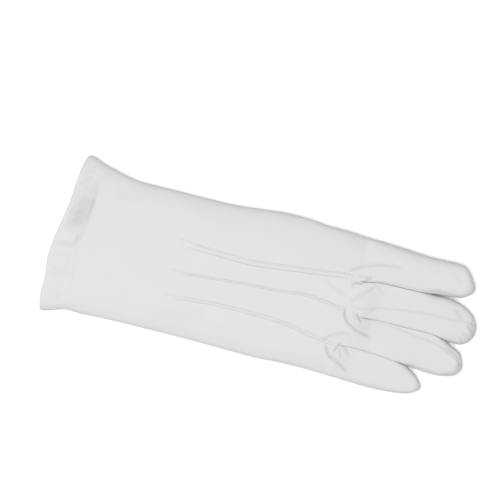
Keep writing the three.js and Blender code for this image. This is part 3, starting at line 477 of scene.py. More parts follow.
def gathers():
    """Fine gathers slanting over the hem: folds at equal steps, whose ends sway by a sine."""
    (x, y), step, run = GATHERS["start"], GATHERS["step"], GATHERS["run"]
    starts = [(x + step[0] * i, y + step[1] * i) for i in range(GATHERS["count"])]
    sways = [GATHERS["sway"] * math.sin(GATHERS["sway_rate"] * i) for i in range(GATHERS["count"])]
    return [
        (*GATHERS["fold"], [(a, b), (a + run[0], b + run[1] + sway)]) for (a, b), sway in zip(starts, sways)
    ]


FOLDS = HEM_FOLDS + gathers() + ROOT_FOLDS + TIP_FOLDS + BODY_FOLDS


def folds(x, y):
    """Height of the folds and their painted shade at each place. With d as the distance over the half
    width, a fold is its height times e to the minus d to its crispness, faded over the first and last fifth
    of its line. A narrow fold has a low lip on each side. The painted shade is the greatest of any fold."""
    height, dark = np.zeros(x.shape), np.zeros(x.shape)
    for up, half, crisp, painted_shade, line in FOLDS:
        path, reach = rounded(line), FOLD_REACH * half
        low, high = path.min(0) - reach, path.max(0) + reach
        near = (x > low[0]) & (x < high[0]) & (y > low[1]) & (y < high[1])
        distance, share = distance_to_line(x[near], y[near], path)
        ends = smooth(share / FADE) * smooth((1 - share) / FADE)
        d = distance / half
        lip, breadth = 0.0, SHADE["fold"]
        if half < LIP["below"]:
            lip = LIP["share"] * np.exp(-(((d - LIP["place"]) / LIP["half_width"]) ** 2))
            breadth = SHADE["crease"]
        height[near] += up * ends * (np.exp(-(d ** crisp)) - lip)
        # Painted shade: the colour is made darker along the fold's trough, where shade falls.
        dark[near] = np.maximum(dark[near], painted_shade * ends * np.exp(-((d / breadth) ** 2)))
    return height, dark


def waviness(x, y):
    """Sum of plane waves: height times the sine of the way along the wave's direction over its length."""
    turn = np.radians(WAVES["turn"])
    way = x[..., None] * np.cos(turn) + y[..., None] * np.sin(turn)
    return (WAVES["height"] * np.sin(2 * np.pi * way / WAVES["length"] + WAVES["phase"])).sum(-1)


THUMB_LENGTH = float(np.hypot(*(THUMB["tip"] - THUMB["root"])))
THUMB_AXIS = (THUMB["tip"] - THUMB["root"]) / THUMB_LENGTH
THUMB_SIDE = np.array([-THUMB_AXIS[1], THUMB_AXIS[0]])


def from_thumb(u, v):
    """The x and y of places given by the length u along the thumb's axis and v across it."""
    x = THUMB["root"][0] + THUMB_AXIS[0] * u + THUMB_SIDE[0] * v
    y = THUMB["root"][1] + THUMB_AXIS[1] * u + THUMB_SIDE[1] * v
    return x, y


def tent_height(x, y):
    """Level of the palm over the thumb: the thumb's height and a clearance inside its outline, falling by
    a soft step over the reach outside it, and rising by another from the wrist side."""
    dx, dy = x - THUMB["root"][0], y - THUMB["root"][1]
    u = dx * THUMB_AXIS[0] + dy * THUMB_AXIS[1]
    v = dx * THUMB_SIDE[0] + dy * THUMB_SIDE[1]
    half = along(THUMB_SECTIONS, "half", np.minimum(u, THUMB["wide_until"]))
    start = THUMB_LENGTH - THUMB["tip_length"]
    around = np.hypot((u - start) / THUMB["tip_length"], v / half)
    beyond = np.where(u > start, (around - 1) * THUMB["tip_length"], np.abs(v) - half)
    fall = 1 - smooth((beyond - TENT["margin"]) / TENT["reach"])
    ramp = smooth((x - TENT["ramp_from"]) / (TENT["ramp_to"] - TENT["ramp_from"]))
    return (THUMB["height"] + TENT["clearance"]) * fall * ramp


def valley(x, y):
    """1 in the line of a crotch and 0 away from it: the largest of three bell curves across y."""
    bells = [np.exp(-(((y - along(POINT_LINES, n, x)) / VALLEY["half_width"]) ** 2)) for n in CROTCH_NAMES]
    return np.max(bells, axis=0)


def settled(places, weight, scale):
    """Places with the folds and waves of the upper cloth added to their heights, times a weight that is 1
    on top and 0 underneath, and the painted shade that goes with them."""
    x, y = places[..., 0], places[..., 1]
    height, dark = folds(x, y)
    moved = places.copy()
    moved[..., 2] += (height + waviness(x, y)) * scale * weight
    return moved, dark * min(scale, 1.0) * weight


def hand_place(row, eta, level):
    """A place on the hand. Row runs from 0 at the hem line to 1 at the finger roots, and below 0 into the
    hem; eta is 1 at the index edge; level is 1 on the back and -1 in the palm. The back's height is the
    middle height plus level times the rest, less the dips between the fingers. The palm lies on the table
    or over the thumb, and rises under the dips."""
    hem_line = along(ENDS, "hem_line", eta, "eta")
    x = np.where(
        row >= 0,
        mix(hem_line, along(ENDS, "roots", eta, "eta"), row),
        mix(hem_line - HEM["gap"], along(ENDS, "cuff", eta, "eta"), -row),
    )
    index, little = along(HAND, "index", x), along(HAND, "little", x)
    y = (index + little) / 2 + eta * (index - little) / 2
    height = along(HAND, "height", x)
    middle = MIDDLE_LEVEL * height
    near_roots = smooth(1 - (1 - row) * HAND_LENGTH / VALLEY["length"]) * (row > 0)
    dip = valley(x, y) * near_roots
    back = middle + (height - middle) * level - VALLEY["depth"] * dip
    sag = np.maximum(0, middle + FLATTENING * middle * level)
    palm = np.maximum(sag, tent_height(x, y)) + VALLEY["rise"] * dip
    return np.stack([x, y, np.where(level > 0, back, palm)], axis=-1), smooth(level / TOP_LEVEL)


def rise(eta, power):
    """Level of a flattened round section: the root of one less eta to the power."""
    return np.sqrt(np.maximum(0, 1 - np.abs(eta) ** power))


EDGE_ETA = math.cos(math.radians(EDGE_ANGLE)) ** (2 / HAND_POWER)


def column_eta(row, column):
    """Where a column of cloth lies across the hand: evenly between the point lines and the two edges,
    found in three passes because the lines move with x."""
    eta = np.zeros(np.broadcast(row, column).shape)
    finger = np.minimum(np.floor(column / COLUMNS_PER_FINGER), LAST).astype(int)
    finger = np.broadcast_to(finger, eta.shape)
    share = column / COLUMNS_PER_FINGER - finger
    for _ in range(3):
        hem_line, roots = along(ENDS, "hem_line", eta, "eta"), along(ENDS, "roots", eta, "eta")
        x = mix(hem_line, roots, np.maximum(row, 0)) + np.minimum(row, 0) * HEM_LENGTH
        index, little = along(HAND, "index", x), along(HAND, "little", x)
        centre, half = (index + little) / 2, (index - little) / 2
        knots = [np.full(eta.shape, EDGE_ETA)]
        knots += [(along(POINT_LINES, n, x) - centre) / half for n in CROTCH_NAMES]
        knots += [np.full(eta.shape, -EDGE_ETA)]
        knots = np.stack(knots)
        low = np.take_along_axis(knots, finger[None], 0)[0]
        high = np.take_along_axis(knots, finger[None] + 1, 0)[0]
        eta = mix(low, high, share)
    return eta


BESIDE = np.array(BESIDE_LINE) / NOMINAL_WIDTH
FINGER_SHARES = np.concatenate([BESIDE, 1 - BESIDE[-2::-1]])
BACK_STEPS = len(FINGER_SHARES) - 1
BACK_COUNT, PALM_COUNT = len(FINGERS) * BACK_STEPS, len(FINGERS) * PALM_STEPS
LAST_COLUMN = len(FINGERS) * COLUMNS_PER_FINGER
BACK_COLUMNS = np.concatenate([
    *(f * COLUMNS_PER_FINGER + FINGER_SHARES[:-1] * COLUMNS_PER_FINGER for f in range(len(FINGERS))),
    [LAST_COLUMN],
])
PALM_COLUMNS = np.linspace(0, LAST_COLUMN, PALM_COUNT + 1)
HOLE_EDGES = [column * PALM_STEPS // COLUMNS_PER_FINGER for column in HOLE_COLUMNS]
SIDE_ANGLES = np.radians(EDGE_ANGLE * (1 - 2 * np.arange(1, FREE_STEPS) / FREE_STEPS))


def hand_loops(rows):
    """Loops round the hand, one for each row: back, little side, palm, index side. The sides follow the
    flattened section, whose eta is the cosine of the angle to 2 over the power and level its sine."""
    row = np.asarray(rows, float)[:, None]
    back = column_eta(row, BACK_COLUMNS[None])
    palm = column_eta(row, PALM_COLUMNS[None, ::-1])
    side_eta = np.cos(SIDE_ANGLES)[None] ** (2 / HAND_POWER) + 0 * row
    side_level = np.sin(SIDE_ANGLES)[None] + 0 * row
    eta = np.concatenate([back, -side_eta, palm, side_eta[:, ::-1]], axis=1)
    level = [rise(back, HAND_POWER), side_level, -rise(palm, HAND_POWER), side_level[:, ::-1]]
    return hand_place(row + 0 * eta, eta, np.concatenate(level, axis=1))


def palm_at(column):
    """Place in a hand loop of a palm column, counted from the index side."""
    return BACK_COUNT + FREE_STEPS + (PALM_COUNT - column)


def open_hole(places, rows):
    """The palm round the thumb hole: the square ring of cloth round a block of rows and columns is drawn
    into an ellipse, by a pull that fades outwards, and its rim stands up towards the thumb."""
    columns_at = palm_at(np.arange(PALM_COUNT + 1))
    a = (rows[:, None] - np.mean(HOLE_ROWS)) / (np.ptp(HOLE_ROWS) / 2)
    b = -(PALM_COLUMNS[None] - np.mean(HOLE_COLUMNS)) / (np.ptp(HOLE_COLUMNS) / 2)
    square = np.maximum(np.abs(a), np.abs(b))
    around = np.maximum(np.hypot(a, b), 1e-9)
    pull = smooth((HOLE["pull_from"] - square) / HOLE["pull_over"])
    x, y = from_thumb(THUMB["hole_length"] * a * square / around, THUMB["hole_width"] * b * square / around)
    palm = places[:, columns_at]
    palm[..., 0] = mix(palm[..., 0], x, pull)
    palm[..., 1] = mix(palm[..., 1], y, pull)
    rim = (THUMB["height"] + HOLE["rim_lift"]) * ((1 + a / around) / 2) ** HOLE["rim_power"]
    field = np.maximum(palm[..., 2] * (1 - pull), tent_height(palm[..., 0], palm[..., 1]))
    near = np.where(pull > 0, field, palm[..., 2])
    palm[..., 2] = mix(rim, near, np.clip((square - 1) / HOLE["rim_over"], 0, 1))
    places[:, columns_at] = palm


def arc_lengths(loops):
    """Length along each loop from its first place to each of the others, and all the way round."""
    steps = np.linalg.norm(np.diff(closed(loops), axis=1), axis=-1)
    return np.concatenate([np.zeros((len(loops), 1)), np.cumsum(steps, axis=1)], axis=1)


def groove(distance, depth, half):
    """A seam across: a narrow trough with cloth that swells a little on both sides of it."""
    trough = np.exp(-((distance / half) ** 2))
    swell = np.exp(-(((distance - SWELL["place"] * half) / (SWELL["half_width"] * half)) ** 2))
    return depth * (SWELL["share"] * swell - trough)


class Skin:
    """The glove's outer surface: shared places with a push along their normals and a painted shade, and
    patches of faces marked with the piece of cloth that they belong to."""

    def __init__(self):
        self.points, self.pushes, self.darks, self.count = [], [], [], 0
        self.quads, self.quad_uv, self.quad_piece = [], [], []
        self.tris, self.tri_uv, self.tri_piece = [], [], []

    def add(self, places, push=0.0, dark=0.0):
        """Adds an array of places and gives back the same array of place numbers."""
        shape = places.shape[:-1]
        size = int(np.prod(shape))
        self.points.append(places.reshape(-1, 3))
        self.pushes.append(np.broadcast_to(push, shape).reshape(-1) * 1.0)
        self.darks.append(np.broadcast_to(dark, shape).reshape(-1) * 1.0)
        ids = np.arange(self.count, self.count + size).reshape(shape)
        self.count += size
        return ids

    def patch(self, ids, uv, piece):
        """Quads between neighbouring places of a grid. Piece is an array of piece numbers, -1 for none."""
        corners = [ids[:-1, :-1], ids[:-1, 1:], ids[1:, 1:], ids[1:, :-1]]
        spots = [uv[:-1, :-1], uv[:-1, 1:], uv[1:, 1:], uv[1:, :-1]]
        piece = np.broadcast_to(piece, corners[0].shape).reshape(-1)
        keep = piece >= 0
        self.quads.append(np.stack(corners, -1).reshape(-1, 4)[keep])
        self.quad_uv.append(np.stack(spots, -2).reshape(-1, 4, 2)[keep])
        self.quad_piece.append(piece[keep])

    def fan(self, ring, uv, tip, tip_uv, piece):
        """Triangles from the last ring of a tube to the place at its tip."""
        tips = np.full(len(ring) - 1, tip)
        tip_uvs = np.broadcast_to(tip_uv, (len(ring) - 1, 2))
        self.tris.append(np.stack([ring[:-1], ring[1:], tips], -1))
        self.tri_uv.append(np.stack([uv[:-1], uv[1:], tip_uvs], -2))
        self.tri_piece.append(np.full(len(ring) - 1, piece))

    def finish(self):
        """Joins the arrays, pushes each place along its normal and works out the normals again."""
        p = np.concatenate(self.points)
        self.quads, self.tris = np.concatenate(self.quads), np.concatenate(self.tris)
        self.quad_uv, self.tri_uv = np.concatenate(self.quad_uv), np.concatenate(self.tri_uv)
        self.quad_piece, self.tri_piece = np.concatenate(self.quad_piece), np.concatenate(self.tri_piece)
        triangles = np.concatenate([self.quads[:, [0, 1, 2]], self.quads[:, [0, 2, 3]], self.tris])
        self.p = p + vertex_normals(p, triangles) * np.concatenate(self.pushes)[:, None]
        self.p[:, 2] = np.maximum(self.p[:, 2], LOWEST)
        self.normals = vertex_normals(self.p, triangles)
        self.dark = np.concatenate(self.darks)
        return self


def vertex_normals(p, triangles):
    """Unit sum of the cross products of the triangles at each place."""
    a, b, c = p[triangles[:, 0]], p[triangles[:, 1]], p[triangles[:, 2]]
    cross = np.cross(b - a, c - a)
    total = np.stack([
        sum(np.bincount(triangles[:, k], cross[:, axis], len(p)) for k in range(3)) for axis in range(3)
    ], -1)
    return total / np.maximum(np.linalg.norm(total, axis=1, keepdims=True), 1e-12)


def point_push(x, column, height):
    """Rise of the stitched points: the tuck's profile beside each point line, as wide as that point is,
    faded in and out along x. On the index side it falls away more gently where its row shows less."""
    span = smooth((x - POINT_SPAN["from"]) / POINT_SPAN["rise"])
    span = span * (1 - smooth((x - POINT_SPAN["until"] + POINT_SPAN["rise"]) / POINT_SPAN["rise"]))
    total = np.zeros(x.shape)
    for line, kind in enumerate(POINT_KINDS, 1):
        side = (line * COLUMNS_PER_FINGER - column) / COLUMNS_PER_FINGER * NOMINAL_WIDTH / kind["width"]
        tuck = np.interp(side, POINT_PROFILE["side"], POINT_PROFILE["up"], left=0, right=0)
        gentle = np.exp(-(((side - GENTLE["from"]) / GENTLE["half_width"]) ** 2))
        total += np.where(side > GENTLE["from"], mix(gentle, tuck, kind["upper"]), tuck)
    return total * span * height


def side_power(pair, x):
    """Squareness of the two sides of a slit: high while they lie together, and that of a free side later,
    with its inverse rising by a soft step."""
    rounder = smooth((x - TOGETHER[pair] + ROUNDING / 2) / ROUNDING)
    return 1 / mix(1 / TOGETHER_POWERS[pair], 1 / FREE_POWER, rounder)


def finger_edges(f, x):
    """High and low edges of finger f at each x, drawn to the middle of the slit that it shares with a
    neighbour as far as the two lie together, and the powers of the section's two sides there."""
    rows = FINGERS[f]["rows"]
    high, low = along(rows, "high", x), along(rows, "low", x)
    powers = [np.full(x.shape, FREE_POWER), np.full(x.shape, FREE_POWER)]
    if f > 0:
        apart = smooth((x - TOGETHER[f - 1]) / PARTING)
        high = mix((high + along(FINGERS[f - 1]["rows"], "low", x) - SLIT) / 2, high, apart)
        powers[0] = side_power(f - 1, x)
    if f < LAST:
        apart = smooth((x - TOGETHER[f]) / PARTING)
        low = mix((low + along(FINGERS[f + 1]["rows"], "high", x) + SLIT) / 2, low, apart)
        powers[1] = side_power(f, x)
    return high, low, powers


def squared(angles, inner, outer):
    """A rounded square of unit size at each angle in degrees: the cosine and sine, each to CORNER_PULL
    with its sign kept, scaled together until their sizes to the power of their side add up to one."""
    c, s = np.cos(np.radians(angles)), np.sin(np.radians(angles))
    c, s = (np.sign(v) * np.abs(v) ** CORNER_PULL for v in (c, s))
    power = np.where(c > 0, inner, outer)
    size = (np.abs(c) ** power + np.abs(s) ** power) ** (1 / power)
    return c / size, s / size


def tip_rounding(to_tip, height):
    """Share of a tube's height that is left near its tip: a quarter circle over TIP_ROUND heights."""
    from_tip = np.clip(to_tip / (height * TIP_ROUND), 0, 1)
    return np.sqrt(np.clip(1 - (1 - from_tip) ** 2, 0, 1))


def tube_height(height, middle, level, closing):
    """Height of a lying tube at each level, from its middle up to its whole height and down to the table,
    which cuts it flat. Near a tip both are drawn to the middle as it closes."""
    upper = middle + (height - middle) * level * closing
    lower = np.maximum(middle * (1 - closing), middle + FLATTENING * middle * level * closing)
    return np.where(level > 0, upper, lower)


def finger_section(f, x, angles):
    """Places of a finger at each x and angle, and their share of the folds: a rounded square as wide as
    the finger is between its edges and as high as it lies. Beyond the last row of its table the width
    closes as the root of the way left to the tip, and the height closes by a quarter circle near it."""
    finger = FINGERS[f]
    high, low, powers = finger_edges(f, x)
    last = finger["rows"]["x"][-1]
    close = np.where(x > last, np.sqrt(np.clip((finger["tip"] - x) / (finger["tip"] - last), 0, 1)), 1.0)
    half, centre = (high - low) / 2 * close, (high + low) / 2
    closing = tip_rounding(finger["tip"] - x, finger["height"])
    side, level = squared(angles, *powers)
    z = tube_height(finger["height"], MIDDLE_LEVEL * finger["height"], level, closing)
    return np.stack([x, centre + half * side, z], -1), smooth(level / TOP_LEVEL) * closing


def finger_rows(root_x, tip):
    """Where the sections of a finger lie: fine steps near its root, longer ones beyond, and ever closer
    ones over its tip."""
    body, at = [], root_x + FIRST_ROW
    for until, step in FINGER_STEPS:
        while at < min(root_x + until, tip - TIP_LENGTH):
            body.append(at)
            at += step
    tail = tip - TIP_LENGTH * (1 - np.sin(np.linspace(0, np.pi / 2, TIP_STEPS + 1)))
    return np.concatenate([body, tail[:-1]])


def crotch_line(loops, k):
    """The cloth between two fingers at their roots: a shallow arc from the back to the palm, its share of
    the folds, which fades from the back down, and its slope, which is nought."""
    places, weights = loops
    s = np.arange(1, STRIP_STEPS)[:, None] / STRIP_STEPS
    line = mix(places[-1, k * BACK_STEPS], places[-1, palm_at(k * PALM_STEPS)], s)
    line[:, 0] -= CROTCH["sag"] * np.sin(np.pi * s[:, 0])
    return line, weights[-1, k * BACK_STEPS] * (1 - smooth(s[:, 0] / CROTCH["fade"])), 0 * s[:, 0]


def seam_marks(skin_x, arcs, corners, strengths, depth):
    """Push and painted shade of the seams along a finger: a trough along each corner between its panels,
    with a slow ripple, as strong as each seam is at that x."""
    push, dark = np.zeros(arcs[:, :-1].shape), np.zeros(arcs[:, :-1].shape)
    for corner, strength in zip(corners, strengths):
        apart = np.abs(arcs[:, :-1] - arcs[:, corner:corner + 1])
        apart = np.minimum(apart, arcs[:, -1:] - apart)
        ripple = 1
        for height, rate, shift in RIPPLES:
            ripple = ripple + height * np.sin(skin_x * rate + shift * corner)
        push += groove(apart, depth * ripple[:, None], SEAM["half_width"]) * strength[:, None]
        # Painted shade: the colour is made darker along the seam's trough, where shade falls.
        shade = SEAM["painted_shade"] * np.exp(-((apart / SEAM["half_width"]) ** 2))
        dark = np.maximum(dark, shade * strength[:, None])
    return push, dark


def ease_strip(places, section, gone, first, last, steps):
    """Brings a strip to its sections over a shorter way than the cloth on both sides of it. What that
    cloth still lies off its own section at the two seams is spread evenly across the strip."""
    share = (np.arange(1, steps) / steps)[None, :, None]
    inside = np.arange(first + 1, first + steps)
    off = places - section
    eased = section[:, inside] + mix(off[:, [first]], off[:, [last]], share)
    places[:, inside] = mix(places[:, inside], eased, smooth(gone / STRIP_BLEND)[..., None])


def finger_sides(f):
    """Steps across the outer and the inner side of a finger, and the columns of its section's corners."""
    outer, inner = STRIP_STEPS if f < LAST else FREE_STEPS, STRIP_STEPS if f else FREE_STEPS
    return outer, inner, np.cumsum([0, BACK_STEPS, outer, PALM_STEPS])


def finger_root(f, roots, crotches):
    """The line once round that a finger starts from: its share of the back, the crotch or free side, its
    share of the palm and the other side. Each part has places, shares of the folds, slopes and numbers."""
    back = np.arange(f * BACK_STEPS, (f + 1) * BACK_STEPS + 1)
    palm = palm_at(np.arange((f + 1) * PALM_STEPS, f * PALM_STEPS - 1, -1))
    free = np.arange(1, FREE_STEPS)
    outer = crotches[f] if f < LAST else [values[BACK_COUNT + free] for values in roots]
    inner = [values[palm_at(0) + free] for values in roots]
    if f:
        inner = [values[::-1] for values in crotches[f - 1]]
    sides = ([values[back] for values in roots], outer, [values[palm] for values in roots], inner)
    return [np.concatenate([side[k] for side in sides]) for k in range(len(roots))]


def finger_angles(f, x):
    """Angle of each column at each x: even steps between the four corners of the section, but on the back
    close together beside the stitched points."""
    outer_steps, inner_steps, _ = finger_sides(f)
    rows = FINGERS[f]["rows"]
    top_in, top_out = (along(rows, name, x)[:, None] for name in ("top_in", "top_out"))
    under_in, under_out = (along(rows, name, x)[:, None] for name in ("under_in", "under_out"))
    return np.concatenate([
        mix(top_in, top_out, FINGER_SHARES[None, :-1]),
        mix(top_out, under_out, np.arange(outer_steps)[None] / outer_steps),
        mix(under_out, under_in + 360, np.arange(PALM_STEPS)[None] / PALM_STEPS),
        mix(under_in + 360, top_in + 360, np.arange(inner_steps)[None] / inner_steps),
    ], axis=1)


def finger_places(f, x, root, root_weight, root_slope):
    """A finger's grid before its folds, and its share of them. At each x the root's places are carried on
    along their slopes, and over the blend length the grid passes from these to the finger's sections."""
    outer_steps, inner_steps, corners = finger_sides(f)
    root_x = root[:, 0].mean()
    gone = (x - root_x)[:, None]
    blend = smooth(gone / FINGER_BLEND)
    column_x = x[:, None] + (root[:, 0] - root_x) * (1 - blend)
    section, weight = finger_section(f, column_x, finger_angles(f, x))
    sideways = smooth((column_x - root[:, 0]) / SIDEWAYS_BLEND)
    y = mix(root[:, 1], section[..., 1], sideways)
    carried = np.stack([column_x, y, root[:, 2] + root_slope * gone], -1)
    places = mix(carried, section, blend[..., None])
    if f < LAST:
        ease_strip(places, section, gone, corners[1], corners[2], outer_steps)
    if f:
        ease_strip(places, section, gone, corners[3], 0, inner_steps)
    return places, mix(root_weight[None], weight, blend)


def finger_seams(f, x, root_x, arcs, depth):
    """Push and painted shade of a finger's seams: at the two corners on the back as far as a strip reaches,
    at the two underneath where the strip turns under, and down the free side of the little finger."""
    finger, (outer_steps, _, corners) = FINGERS[f], finger_sides(f)
    fade_in = smooth((x - root_x) / SEAM["start"])
    inner_on = (1 - smooth((x - finger["inner_end"]) / SEAM["end"])) * fade_in if f else 0 * x
    outer_on = (1 - smooth((x - finger["outer_end"]) / SEAM["end"])) * fade_in if f < LAST else 0 * x
    outer_under = smooth((along(finger["rows"], "under_out", x) - 180) / SEAM["turn"])
    inner_under = smooth(-along(finger["rows"], "under_in", x) / SEAM["turn"])
    strengths = [inner_on, outer_on, outer_on * outer_under, inner_on * inner_under]
    push, dark = seam_marks(x, arcs, corners, strengths, depth)
    if f == LAST:
        side, side_painted_dark = seam_marks(x, arcs, [corners[1] + outer_steps // 2], [np.ones(x.shape)], depth)
        push, dark = push + side, np.maximum(dark, side_painted_dark)
    return push * np.minimum(1, ((finger["tip"] - x) / SEAM["end"])[:, None]), dark


def build_finger(skin, f, start, fold_scale, seam_depth):
    """Adds one finger from the line that it starts from: its rows with folds and seams, the faces of the
    hand's cloth and of the strips beside it, and the fan over its tip."""
    finger, (_, _, corners) = FINGERS[f], finger_sides(f)
    root, root_weight, root_slope, root_ids = start
    root_x = root[:, 0].mean()
    x = finger_rows(root_x, finger["tip"])
    bare, weight = finger_places(f, x, root, root_weight, root_slope)
    places, dark = settled(bare, weight, fold_scale)
    arcs = arc_lengths(places)
    push, seam_painted_dark = finger_seams(f, x, root_x, arcs, seam_depth)
    new_ids = skin.add(places, push, np.maximum(dark, seam_painted_dark))
    ids = closed(np.concatenate([root_ids[None], new_ids]))
    v = np.concatenate([arc_lengths(root[None]), arcs])
    v = v - v[:, BACK_STEPS // 2][:, None] + FINGERS_APART * f
    uv = uv_grid(np.concatenate([[root_x], x])[:, None], v)
    column, at = np.arange(places.shape[1])[None], x[:, None]
    outer_side = (column >= corners[1]) & (column < corners[2]) & (at <= finger["outer_end"])
    inner_side = (column >= corners[3]) & (at <= finger["inner_end"])
    piece = np.where(outer_side & (f < LAST), f + 1, np.where(inner_side & (f > 0), f, TRANK))
    skin.patch(ids, uv, piece)
    tip = places[-1].mean(0)
    tip[0] = finger["tip"]
    skin.fan(ids[-1], uv[-1], skin.add(tip[None])[0], uv[-1].mean(0), TRANK)


def build_fingers(skin, loops, loop_ids, fold_scale, seam_depth):
    """Adds the crotches and the fingers. Each finger starts from its share of the hand's last loop before
    its folds, so that the folds come last and cross the roots unbroken."""
    step = loops[0][-1] - loops[0][-2]
    roots = (loops[0][-1], loops[1][-1], step[:, 2] / step[:, 0], loop_ids[-1])
    crotches = []
    for k in range(1, len(FINGERS)):
        line, weight, slope = crotch_line(loops, k)
        moved, dark = settled(line, weight, fold_scale)
        # Painted shade: the crotch line between two fingers is darkened to at least the crotch's value.
        ids = skin.add(moved, 0.0, np.maximum(dark, CROTCH["painted_shade"]))
        crotches.append((line, weight, slope, ids))
    for f in range(len(FINGERS)):
        build_finger(skin, f, finger_root(f, roots, crotches), fold_scale, seam_depth)


def thumb_place(u, half, angle):
    """A section of the thumb: like a finger's, on its own axis under the palm."""
    c, s = np.cos(angle), np.sin(angle)
    v = np.sign(c) * half * np.abs(c) ** (2 / THUMB_POWER)
    closing = tip_rounding(THUMB_LENGTH - u, THUMB["height"])
    z = tube_height(THUMB["height"], THUMB["middle"] * THUMB["height"], s, closing)
    return np.stack([*from_thumb(u, v), z], -1)


def hole_rim(rows):
    """Row and column of each place on the rim of the thumb hole, once round."""
    i0, i1 = np.searchsorted(rows, HOLE_ROWS)
    c0, c1 = HOLE_EDGES
    return np.concatenate([
        np.stack([np.arange(i0, i1), np.full(i1 - i0, palm_at(c0))], -1),
        np.stack([np.full(c1 - c0, i1), palm_at(np.arange(c0, c1))], -1),
        np.stack([np.arange(i1, i0, -1), np.full(i1 - i0, palm_at(c1))], -1),
        np.stack([np.full(c1 - c0, i0), palm_at(np.arange(c1, c0, -1))], -1),
    ]).T


def build_thumb(skin, loops, loop_ids, rows):
    """Adds the thumb: from the rim of its hole, over a few rows that settle into the first section, and
    along its axis to a closed tip."""
    row, column = hole_rim(rows)
    places, rim_ids = loops[row, column], loop_ids[row, column]
    away = places[:, :2] - THUMB["root"]
    turn = np.arctan2(away @ THUMB_SIDE / THUMB["hole_width"], away @ THUMB_AXIS / THUMB["hole_length"])
    angle = np.pi / 2 - turn
    start = THUMB_SECTIONS["x"][0]
    first = thumb_place(start, THUMB_SECTIONS["half"][0], angle)
    s = np.linspace(0, 1, THUMB["blend_rows"] + 1)[1:-1, None]
    blend = mix(places[None], first[None], s[..., None])
    blend[..., 2] = mix(places[None, :, 2], first[None, :, 2], s ** THUMB["blend_power"])
    u = start + np.ptp(THUMB_SECTIONS["x"]) * np.sin(np.linspace(0, np.pi / 2, THUMB["rows"]))
    rest = thumb_place(u[:, None], along(THUMB_SECTIONS, "half", u)[:, None], angle[None])
    grid = np.concatenate([blend, rest])
    push = waviness(grid[..., 0], grid[..., 1]) * THUMB["waves"]
    push[:THUMB["plain_rows"]] = 0
    ids = closed(np.concatenate([rim_ids[None], skin.add(grid, push)]))
    whole = np.concatenate([places[None], grid])
    run = running(np.linalg.norm(np.diff(whole.mean(1), axis=0), axis=1))
    uv = uv_grid(run[:, None], arc_lengths(whole))
    skin.patch(ids, uv, THUMB_PIECE)
    tip = grid[-1].mean(0)
    tip[:2] = THUMB["tip"]
    skin.fan(ids[-1], uv[-1], skin.add(tip[None])[0], uv[-1].mean(0), THUMB_PIECE)


def build_hem(skin, first_ids, fold_scale, thickness):
    """Adds the hem: rows from the hem line to the cuff end, a half circle round the edge as wide as the
    hem is thick, and the same rows back inside, drawn in by that thickness. The rows are put in the order
    from the inside round to the hem line, where the last one is the hand's own."""
    shares = np.linspace(HEM["first"], 1, HEM["rows"])
    outer, dark = settled(*hand_loops(-shares), fold_scale)
    around = np.roll(outer, -1, axis=1) - np.roll(outer, 1, axis=1)
    out = np.cross(np.gradient(outer, axis=0), around) * np.array([0, 1, 1])
    out /= np.linalg.norm(out, axis=-1, keepdims=True)
    radius = thickness / 2
    outer[..., 0] += radius * (shares ** 2)[:, None]
    turn = np.radians(np.linspace(0, 180, HEM["turn_steps"] + 1))[1:, None, None]
    edge = outer[-1] - out[-1] * radius * (1 - np.cos(turn)) - np.array([radius, 0, 0]) * np.sin(turn)
    inner = (outer - out * thickness)[::-1][1:]
    rows = np.concatenate([outer, edge, inner])[::-1]
    rows[..., 2] = np.maximum(rows[..., 2], LOWEST)
    dark = np.concatenate([np.zeros((len(rows) - len(outer), outer.shape[1])), dark[::-1]])
    ids = closed(np.concatenate([skin.add(rows, 0.0, dark), first_ids[None]]))
    places = np.concatenate(skin.points)[ids]
    run = running(np.linalg.norm(np.diff(places, axis=0), axis=-1).mean(1))
    run = run - run[-1] + HAND_ROWS[0]
    arcs = arc_lengths(places[-1:, :-1])
    arcs = arcs - arcs[:, BACK_COUNT // 2][:, None]
    skin.patch(ids, uv_grid(run[:, None], arcs), HEM_PIECE)


def hand_marks(loops, rows, dark, seam_depth, point_height):
    """Push and painted shade of the hand's cloth: the stitched points with a faint painted shade in their
    troughs, a shallow groove at the hem line and the seam down the little side."""
    x, arcs = loops[..., 0], arc_lengths(loops)
    push = np.zeros(x.shape)
    n = len(BACK_COLUMNS)
    tucks = point_push(x[:, :n], BACK_COLUMNS[None] + 0 * x[:, :n], point_height)
    push[:, :n] += tucks
    deepest = -POINT_PROFILE["up"].min() * point_height
    # Painted shade: the colour is made darker in the troughs beside each point, where shade falls.
    dark[:, :n] = np.maximum(dark[:, :n], POINT_SHADE * np.clip(-tucks / deepest, 0, 1))
    from_hem = np.abs(rows[:, None] * (HAND_ROWS[1] - HAND_ROWS[0]) + 0 * x)
    push += groove(from_hem, HEM["groove"] * seam_depth, SEAM["half_width"])
    side = BACK_COUNT + FREE_STEPS // 2
    push += groove(np.abs(arcs[:, :-1] - arcs[:, side:side + 1]), seam_depth, SEAM["half_width"])
    return push, dark


